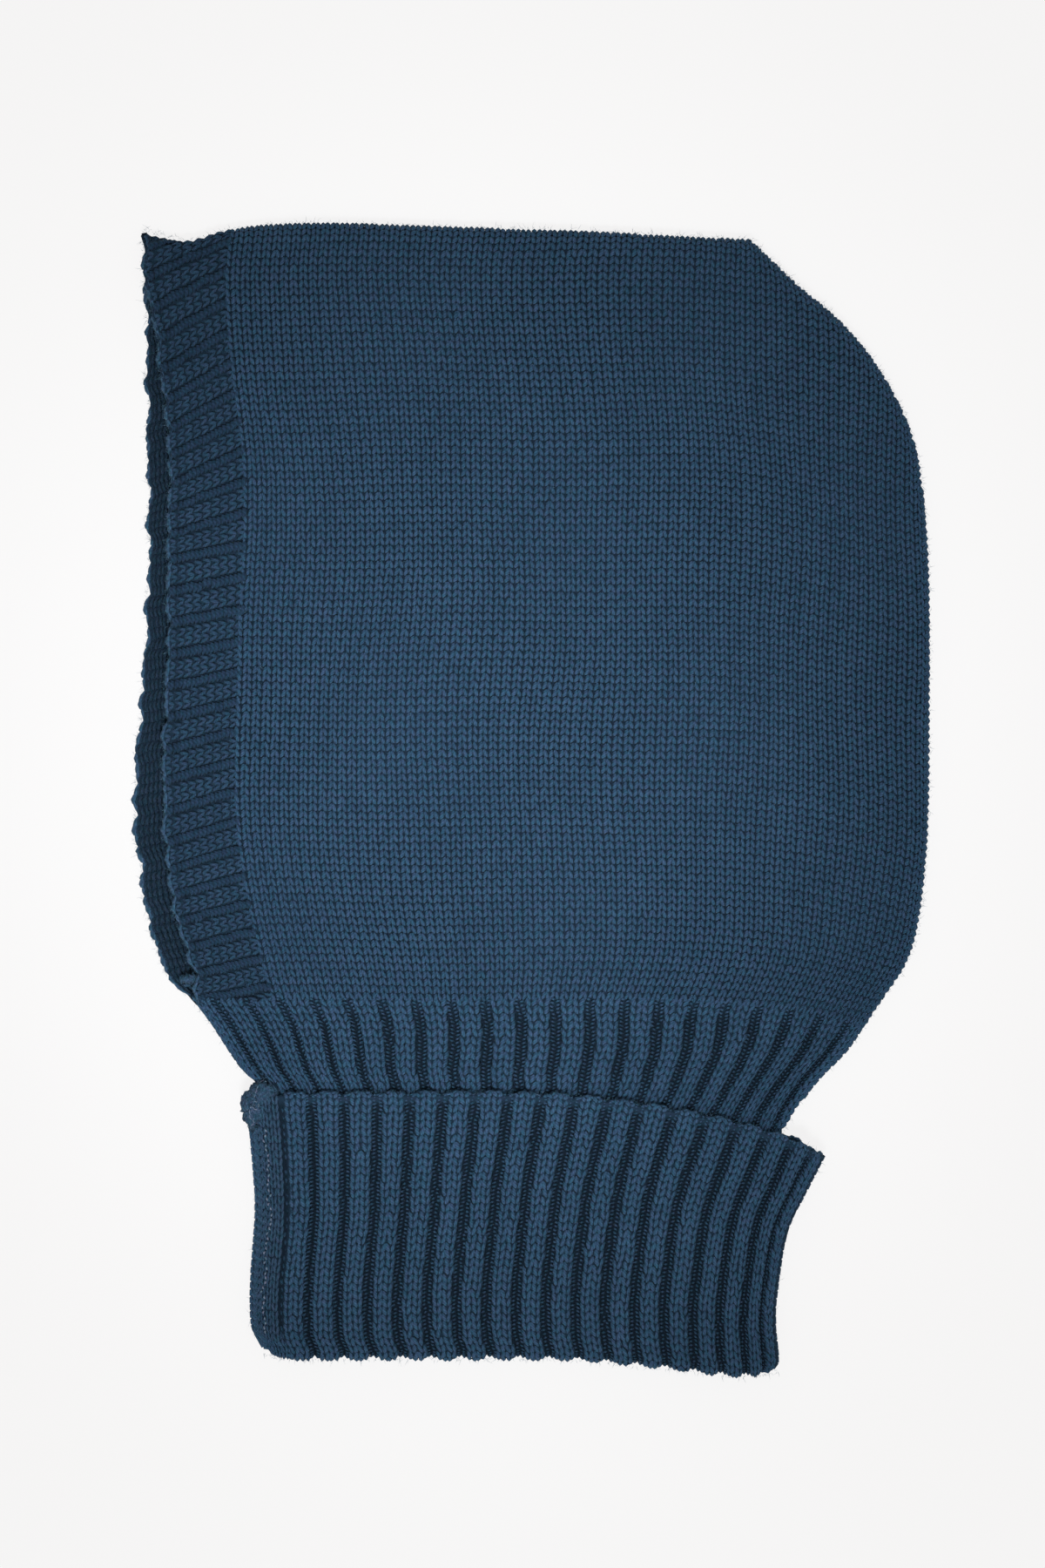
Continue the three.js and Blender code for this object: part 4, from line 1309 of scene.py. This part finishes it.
neck_yarn = yarn_material("neck_yarn", (0.0205, 0.0595, 0.115), (0.0495, 0.115, 0.209), deep_shade=0.45)
neck_ribs = np.linspace(0, NECK_RIBS, RIB_STEPS * NECK_RIBS + 1)
neck_rows = RIB_LINE + np.concatenate([
    np.linspace(NECK_GROUND_TOP, NECK_GROUND_FINE, NECK_FINE_ROWS),
    np.linspace(NECK_GROUND_FINE, NECK_GROUND_END, NECK_COARSE_ROWS)[1:],
])
neck_parts = [(
    cloth(
        round_tube(lambda layer, ribs: neck_skin(layer, ribs, neck_rows, True), neck_ribs),
        round_tube(lambda layer, ribs: neck_skin(layer, ribs, neck_rows, False), neck_ribs),
        ("bottom", "top"),
    ),
    rib_ground_painted_shade,
)]
rib_shape = {1: rib_stitch, -1: plain_stitch}
trough_shape = {1: purl_pair(), -1: purl_stitch(half_width=0.0009, sides=3)}
for layer in (1, -1):
    courses = NECK_FIRST_COURSE - np.arange(NECK_COURSES[layer])
    neck_parts += ribbing(
        np.arange(-1, NECK_RIBS + 1) + NECK_PHASE[layer], courses, neck_place(layer), neck_relief(layer),
        neck_keep(layer), rng, (rib_shape[layer], trough_shape[layer]), (neck_yarn, neck_yarn),
    )
for edge in (neck_left_line[NECK_EDGE_STEPS["left"]::-1], neck_right_line[:NECK_EDGE_STEPS["right"]]):
    neck_parts.append(edge_fuzz(edge, HOOD_HALF, HOOD_HALF, rng))
make_piece("neck_knit", neck_parts, "neck_rib")


# Turned cuff
# The end of the neck turned up on the outside, so that its stitches stand upside down. Its bound-off edge is
# at the top, its fold is at the bottom, and a short return lies inside against the end of the neck.
CUFF_LEFT_EDGE = [
    (-95.0, -97.7), (-93.4, -111.0), (-92.2, -124.0), (-91.6, -136.0), (-92.4, -149.0), (-93.2, -161.0),
    (-93.2, -170.0), (-92.6, -176.0), (-90.6, -179.6),
]
CUFF_RIGHT_EDGE = [
    (97.4, -118.5), (91.5, -130.0), (85.2, -143.0), (81.9, -161.0), (80.9, -172.0), (82.0, -186.4),
]
CUFF_BOTTOM_EDGE = [
    (-90.6, -179.6), (-85.0, -182.0), (-74.0, -182.2), (-30.0, -182.2), (12.0, -182.5), (40.0, -184.8),
    (58.0, -186.9), (71.0, -188.0), (82.0, -186.4),
]
CUFF_WIDTH = 0.1775
CUFF_RIBS = 20
CUFF_EVEN_RIBS = 18.85
CUFF_CROWDING_FROM = 0.8
FIRST_RIB = 0.5
CUFF_PHASE = {1: 0.0, -1: 0.8}
TURN = 0.00315
CUFF_RETURN = 0.009
CUFF_COURSE = 0.00256
CUFF_COURSES = 38
CUFF_FIRST_COURSE = 0.3
CUFF_LOOPS = (0.4, 20.6)
CUFF_CHAIN = 0.75
CUFF_EXTRA = (math.pi / 2 - 1) * CUFF_HALF
CUFF_PINCH = (2.5, 6)
CUFF_PINCHING = 0.5
EDGE_RISE = 0.0006
EDGE_RELIEF = 0.35
EDGE_COURSES = 2.5
EDGE_GROUND = {1: -0.0003, -1: 0.0002}
TOP_SCALLOP = 0.0003
BOTTOM_SCALLOP = -0.0009
SCALLOP_REACH = 0.006
STRIP_RIBS = (1.07, 2.02)
STRIP_SIDE = 0.06
STRIP_LAST = 30.5
STRIP_FADE = 1.5
SEAM_TROUGH = 2.2
SEAM_CLEAR = 0.2
SEAM_GROOVE = -0.0014
GROOVE_LAST = 29.0
GROOVE_FADE = 6
GROOVE_RIB = 2.11
GROOVE_WIDTH = 0.115
SEAM_BED = -0.0009
SEAM_SIDE = -0.0001
SEAM_SIDE_WIDTH = 0.215
SEAM_SIDE_RIBS = (0.35, 0.56, 0.77, 0.98)
SEAM_FOOT_RIBS = (1.19, 1.4, 1.61, 1.82, 2.0)
FOLD_OVERRUN = 0.02
FOLD_LEAN = 0.2
FOLD_FILL = 0.0007
FOLD_FILL_REACH = 0.0035
CUFF_GROUND_COLUMNS = 176
CUFF_LIP_ROWS = 4
CUFF_FOLD_ROWS = 9
CUFF_ROWS = (0.03, 0.08, 0.15, 0.25, 0.36, 0.48, 0.6, 0.72, 0.82, 0.9, 0.96, 1.0)

cuff_lines = {
    "left": smooth_line(CUFF_LEFT_EDGE),
    "right": smooth_line(CUFF_RIGHT_EDGE),
    "top": cuff_top_line,
    "bottom": smooth_line(CUFF_BOTTOM_EDGE),
}
cuff_fold = folded_edge(
    np.vstack([
        cuff_lines["left"][-1:] - (0, FOLD_OVERRUN), cuff_lines["left"][::-1],
        cuff_lines["left"][:1] + (0, FOLD_OVERRUN),
    ]),
    np.vstack([
        cuff_lines["right"][:1] + (FOLD_LEAN * FOLD_OVERRUN, FOLD_OVERRUN), cuff_lines["right"],
        cuff_lines["right"][-1:] - (0, FOLD_OVERRUN),
    ]),
)


def along_line(line, share):
    """Point at a share of a line's length, carried straight on past its ends."""
    within = np.clip(share, 0, 1)
    return resampled(line, within) + (share - within)[:, None] * (line[-1] - line[0])


def cuff_patch(across, down):
    """Plan point of the cuff: across from its left to its right fold, and down from its top to its bottom."""
    left, right = along_line(cuff_lines["left"], down), along_line(cuff_lines["right"], down)
    top, bottom = along_line(cuff_lines["top"], across), along_line(cuff_lines["bottom"], across)
    u, v = across[:, None], down[:, None]
    corners = [cuff_lines[name][end] for name in ("top", "bottom") for end in (0, -1)]
    square = mix(mix(corners[0], corners[1], u), mix(corners[2], corners[3], u), v)
    return mix(left, right, u) + mix(top, bottom, v) - square


def cuff_across(rib):
    """Share of the cuff's width at a rib, which passes its folds by the cloth that the bend takes up. The
    last ribs crowd together before the right fold."""
    share = (rib - FIRST_RIB) / CUFF_EVEN_RIBS
    whole = CUFF_RIBS / CUFF_EVEN_RIBS
    crowding = (np.maximum(share - CUFF_CROWDING_FROM, 0) / (whole - CUFF_CROWDING_FROM)) ** 2
    share = share - (whole - 1) * crowding
    return share + (2 * share - 1) * CUFF_EXTRA / CUFF_WIDTH


def cuff_length(rib):
    """Length of the cuff on a rib, flat and with its bends, in metres."""
    across = cuff_across(rib)
    top, bottom = (cuff_patch(across, np.full(len(rib), end)) for end in (0.0, 1.0))
    flat = np.hypot(*(top - bottom).T)
    return flat, flat + TURN + (math.pi / 2 - 1) * (LIP + TURN)


def cuff_place(layer):
    """Place on the cuff. Courses are counted down from the outermost line of its bound-off edge."""
    def place(rib, course, height):
        run = course * CUFF_COURSE
        flat, whole = cuff_length(rib)
        from_top, rise_top = bend(run, LIP, height)
        from_bottom, rise_bottom = bend(whole - run, TURN, height)
        notch = trough(rib - CUFF_PHASE[layer]) * (rib > SEAM_TROUGH + SEAM_CLEAR)
        from_top = from_top + TOP_SCALLOP * notch * ease(1 - np.abs(run) / SCALLOP_REACH)
        from_bottom = from_bottom + BOTTOM_SCALLOP * notch * ease(1 - np.abs(whole - run) / SCALLOP_REACH)
        upper_part = run < whole / 2
        down = np.where(upper_part, from_top, flat + TURN - from_bottom)
        radial = np.where(upper_part, rise_top - LIP, rise_bottom - TURN)
        within = np.clip(down, 0, flat)
        plan = cuff_patch(cuff_across(rib), within / flat)
        plan[:, 1] -= down - within
        return lay(plan, radial, layer, cuff_fold, CUFF_HALF, CUFF_HALF)
    return place


def cuff_relief(layer):
    """Relief of the ribs, which fades at the bound-off edge. On the upper layer the seam has a flat bed."""
    def relief(rib, course):
        pinch = CUFF_PINCHING * ease((CUFF_PINCH[1] - rib) / (CUFF_PINCH[1] - CUFF_PINCH[0]))
        ribbed = rib_relief(rib - CUFF_PHASE[layer], pinch)
        rise = mix(EDGE_RISE, ribbed, mix(EDGE_RELIEF, 1, ease(np.abs(course) / EDGE_COURSES)))
        if layer > 0:
            beside_strip = ease(1 - (course - STRIP_LAST) / STRIP_FADE)
            under_strip = ease((rib - STRIP_RIBS[0]) / STRIP_SIDE) * beside_strip
            groove = SEAM_GROOVE * ease(1 - (course - GROOVE_LAST) / GROOVE_FADE)
            rise = np.where(rib < SEAM_TROUGH, groove, rise)
            rise = np.where(rib < STRIP_RIBS[1], mix(SEAM_SIDE, SEAM_BED, under_strip), rise)
        return rise
    return relief


def cuff_keep(layer):
    def keep(rib, course):
        depth, _, _ = nearest_fold(cuff_patch(cuff_across(rib), np.full(len(rib), 0.5)), cuff_fold)
        clear_of_seam = (rib > SEAM_TROUGH) if layer > 0 else (rib > -1)
        return (depth + CUFF_EXTRA > FOLD_MARGIN * layer) & clear_of_seam
    return keep


def cuff_skin(layer, ribs, side):
    """One skin of the cuff's ground, from its bound-off edge down round its fold and up again inside."""
    _, whole = cuff_length(ribs)
    quarter_turn = TURN * math.pi / 2
    lip_runs = np.linspace(0, LIP * math.pi / 2, CUFF_LIP_ROWS)
    rows = [np.full(len(ribs), side * run) for run in lip_runs]
    rows += [mix(lip_runs[-1], whole - quarter_turn, share) for share in CUFF_ROWS]
    fold_shares = np.linspace(0, 1, CUFF_FOLD_ROWS)[1:]
    rows += [whole - quarter_turn + TURN * math.pi * share for share in fold_shares]
    rows.append(whole + quarter_turn + CUFF_RETURN)
    grid = []
    for number, run in enumerate(rows):
        course = run / CUFF_COURSE
        height = np.full(len(ribs), HOLLOW_SKIN)
        if number < len(lip_runs):
            height = np.full(len(ribs), EDGE_GROUND[layer])
        elif side > 0:
            near_fold = np.minimum(ribs - FIRST_RIB, FIRST_RIB + CUFF_RIBS - ribs) * CUFF_WIDTH / CUFF_RIBS
            fill = FOLD_FILL * ease(1 - near_fold / FOLD_FILL_REACH)
            height = GROUND_SKIN + fill + GROUND_RELIEF * cuff_relief(layer)(ribs, course)
        grid.append(deep_points(cuff_place(layer)(ribs, course, height), height))
    return np.array(grid)


cuff_yarn = yarn_material("cuff_yarn", (0.023, 0.066, 0.126), (0.055, 0.126, 0.228), deep_shade=0.45)
cuff_ribs = np.linspace(FIRST_RIB, CUFF_RIBS + FIRST_RIB, CUFF_GROUND_COLUMNS)
cuff_parts = [(
    cloth(
        round_tube(lambda layer, ribs: cuff_skin(layer, ribs, 1), cuff_ribs),
        round_tube(lambda layer, ribs: cuff_skin(layer, ribs, -1), cuff_ribs),
        ("top",),
    ),
    rib_ground_painted_shade,
)]
courses = CUFF_FIRST_COURSE + np.arange(CUFF_COURSES)
for layer in (1, -1):
    place, relief, keep = cuff_place(layer), cuff_relief(layer), cuff_keep(layer)
    cuff_parts += ribbing(
        np.arange(-1, CUFF_RIBS + 2) + CUFF_PHASE[layer], courses, place, relief, keep, rng,
        (turned(rib_shape[layer]), trough_shape[layer]), (cuff_yarn, cuff_yarn),
    )
    cuff_parts.append((bound_off(*CUFF_LOOPS, CUFF_CHAIN, place, relief, keep, rng), cuff_yarn))
for ribs, rows, shape, width, wander in (
    ([GROOVE_RIB], courses, purl_bar, GROOVE_WIDTH, 1.0),
    (SEAM_SIDE_RIBS, courses, turned(rib_stitch), SEAM_SIDE_WIDTH, RIB_WANDER),
    (SEAM_FOOT_RIBS, courses[courses > STRIP_LAST], turned(rib_stitch), SEAM_SIDE_WIDTH, RIB_WANDER),
):
    rib, course = each_pair(ribs, rows)
    beside_seam = knit(shape, rib, course, cuff_place(1), rng, width, wander, cuff_relief(1))
    cuff_parts.append((beside_seam, cuff_yarn))
for edge, middle, half in (
    (cuff_lines["left"][::-1], CUFF_HALF, CUFF_HALF),
    (cuff_lines["right"], CUFF_HALF, CUFF_HALF),
    (cuff_lines["bottom"][::-1] - (0, TURN), 2 * CUFF_HALF - TURN, TURN),
    (cuff_lines["top"], 2 * CUFF_HALF - LIP, LIP),
):
    cuff_parts.append(edge_fuzz(edge, middle, half, rng))
make_piece("turned_cuff_knit", cuff_parts, "turned_cuff")


# Cuff seam
# The joined edges of the cuff, laid flat in a strip beside its left fold: four wales of yarn, with a paler
# thread down the middle in short stitches. Its top is puckered into a lump, with the thread sewn over it.
STRIP_FROM = 0.001
STRIP_WIDTH = 0.009
STRIP_TOP = 0.008
STRIP_BOTTOM = 0.955
STRIP_RISE = 0.0005
STRIP_SKIN = -0.0008
STRIP_DEPTH = 0.0016
STRIP_LENGTH = 0.0815
STRIP_WALES = 4
STRIP_COURSES = 32
STRIP_GRID = (9, 60)
STRIP_WANDER = 1.4
THREAD_FROM = 4.5
THREAD_PITCH = 0.00165
THREAD_AT = 0.0044
THREAD_WEAVE = 0.14
THREAD_WEAVE_TURN = 0.9
THREAD_WANDER = 2.0
THREAD_STRAY = 0.17
THREAD_REACH = (0.13, 0.27)
THREAD_WIDTHS = (0.00028, 0.0004, 0.00028)
THREAD_HEIGHTS = (0.0002, 0.00028, 0.0002)
THREAD_ENDS = -0.0001
THREAD_HUMP = 0.0006
SEWN_WAVE = 0.00025
SEWN_WAVE_TURN = 0.9
SEWN_STEPS = 6
FRAY = 0.00045
FRAY_STEPS = 30
FRAYS_A_STEP = 3
FRAY_HEIGHT = 0.0002
FRAY_LENGTH = 0.0011
FRAY_WAY = (0.0, 0.0, 0.3)
LUMP = [
    {"middle": (-0.0916, -0.1030, 0.0112), "half": (0.0046, 0.0072, 0.0062), "lean": -0.12, "yarns": 200},
    {"middle": (-0.0885, -0.0971, 0.0122), "half": (0.0047, 0.0042, 0.0064), "lean": 0.0, "yarns": 120},
]
# Place where painted shade gathers in the crease beside the lump
LUMP_CREASE = (-0.0904, -0.1088)
THREAD_END = [
    (-87.6, -93.4), (-89.4, -93.2), (-90.3, -94.2), (-91.3, -97.4), (-91.8, -99.6), (-90.6, -100.2),
    (-90.3, -101.4), (-91.2, -102.5), (-92.8, -101.6), (-93.3, -103.4), (-93.1, -105.4), (-92.2, -106.0),
    (-91.9, -107.1), (-92.8, -107.8), (-93.5, -108.6),
]
LOOSE_END = [(-92.4, -98.4), (-93.6, -98.3), (-94.6, -97.8), (-95.6, -97.4)]


def strip_at(across, down, height):
    """Place on the seam strip: metres across from its outer edge and down from its top."""
    share = mix(STRIP_TOP, STRIP_BOTTOM, down / STRIP_LENGTH)
    plan = cuff_patch((STRIP_FROM + across) / CUFF_WIDTH, share)
    return lay(plan, height + STRIP_RISE, 1, cuff_fold, CUFF_HALF, CUFF_HALF)


def strip_cloth():
    """Thickness of the strip below its stitches."""
    columns, rows = STRIP_GRID
    across, down = np.meshgrid(np.linspace(0, STRIP_WIDTH, columns), np.linspace(0, STRIP_LENGTH, rows))
    skins = [
        deep_points(strip_at(across.ravel(), down.ravel(), height), height).reshape(*across.shape, 4)
        for height in (STRIP_SKIN, -STRIP_DEPTH)
    ]
    return cloth(*skins, ("left", "right", "bottom", "top"))


def strip_place(wale, course, height):
    return strip_at(wale * STRIP_WIDTH / STRIP_WALES, course * CUFF_COURSE, height)


def thread_stitch(way):
    """Short slanting stitch of thin thread that lies on the strip, to the right or to the left."""
    share = np.linspace(0, 1, 5)
    path = np.column_stack([
        mix(-THREAD_REACH[0], THREAD_REACH[0], share) * WALE * way,
        mix(-THREAD_REACH[1], THREAD_REACH[1], share) * COURSE,
        THREAD_ENDS + THREAD_HUMP * np.sin(math.pi * share),
    ])
    return strand(path, THREAD_WIDTHS, THREAD_HEIGHTS)


def sewn_thread(points, height, half_width):
    """One length of thread over the lump, through points of the plan in millimetres."""
    line = smooth_line(points, SEWN_STEPS * len(points))
    wave = height + SEWN_WAVE * np.sin(np.arange(len(line)) * SEWN_WAVE_TURN)
    half = np.full(len(line) - 2, half_width)
    part = toned(strand(mound_top(LUMP, line, wave), half, half), 0.0, 0.0)
    return {**part, "along": part["along"] * len(points)}


seam_yarn = yarn_material("seam_yarn", (0.020, 0.054, 0.102), (0.054, 0.114, 0.196), deep_shade=0.75)
lump_yarn = yarn_material(
    "lump_yarn", (0.023, 0.060, 0.112), (0.062, 0.126, 0.212), spread=0.2, deep_shade=0.75,
)
seam_thread = yarn_material("seam_thread", (0.13, 0.20, 0.31), (0.33, 0.40, 0.54), turns=4.0)
seam_parts = [(strip_cloth(), hood_ground_painted_shade), (mound_yarns(LUMP, LUMP_CREASE, rng), lump_yarn)]
seam_parts += [(mound_core(mound), hood_ground_painted_shade) for mound in LUMP]
wale, course = each_pair(0.5 + np.arange(STRIP_WALES), 0.5 + np.arange(STRIP_COURSES))
strip_wales = knit(turned(rib_stitch), wale, course, strip_place, rng, wander=STRIP_WANDER)
seam_parts.append((strip_wales, seam_yarn))
course = np.arange(THREAD_FROM, STRIP_COURSES - 1, THREAD_PITCH / CUFF_COURSE)
weave = THREAD_WEAVE * np.sin(course * THREAD_WEAVE_TURN) + rng.normal(0, THREAD_STRAY, len(course))
wale = THREAD_AT * STRIP_WALES / STRIP_WIDTH + weave
for first, way in ((0, 1), (1, -1)):
    wales, rows = wale[first::2], course[first::2]
    stitches = knit(thread_stitch(way), wales, rows, strip_place, rng, wander=THREAD_WANDER)
    seam_parts.append((stitches, seam_thread))
seam_parts.append((sewn_thread(THREAD_END, height=0.0003, half_width=0.00015), seam_thread))
frayed = np.repeat(smooth_line(THREAD_END, FRAY_STEPS), FRAYS_A_STEP, axis=0)
frayed = mound_top(LUMP, frayed + rng.normal(0, FRAY, frayed.shape), FRAY_HEIGHT)
seam_parts.append((fuzz(frayed, np.array(FRAY_WAY), rng, FRAY_LENGTH), seam_thread))
seam_parts.append((sewn_thread(LOOSE_END, height=0.0002, half_width=0.0003), lump_yarn))
make_piece("cuff_seam_knit", seam_parts, "cuff_seam")
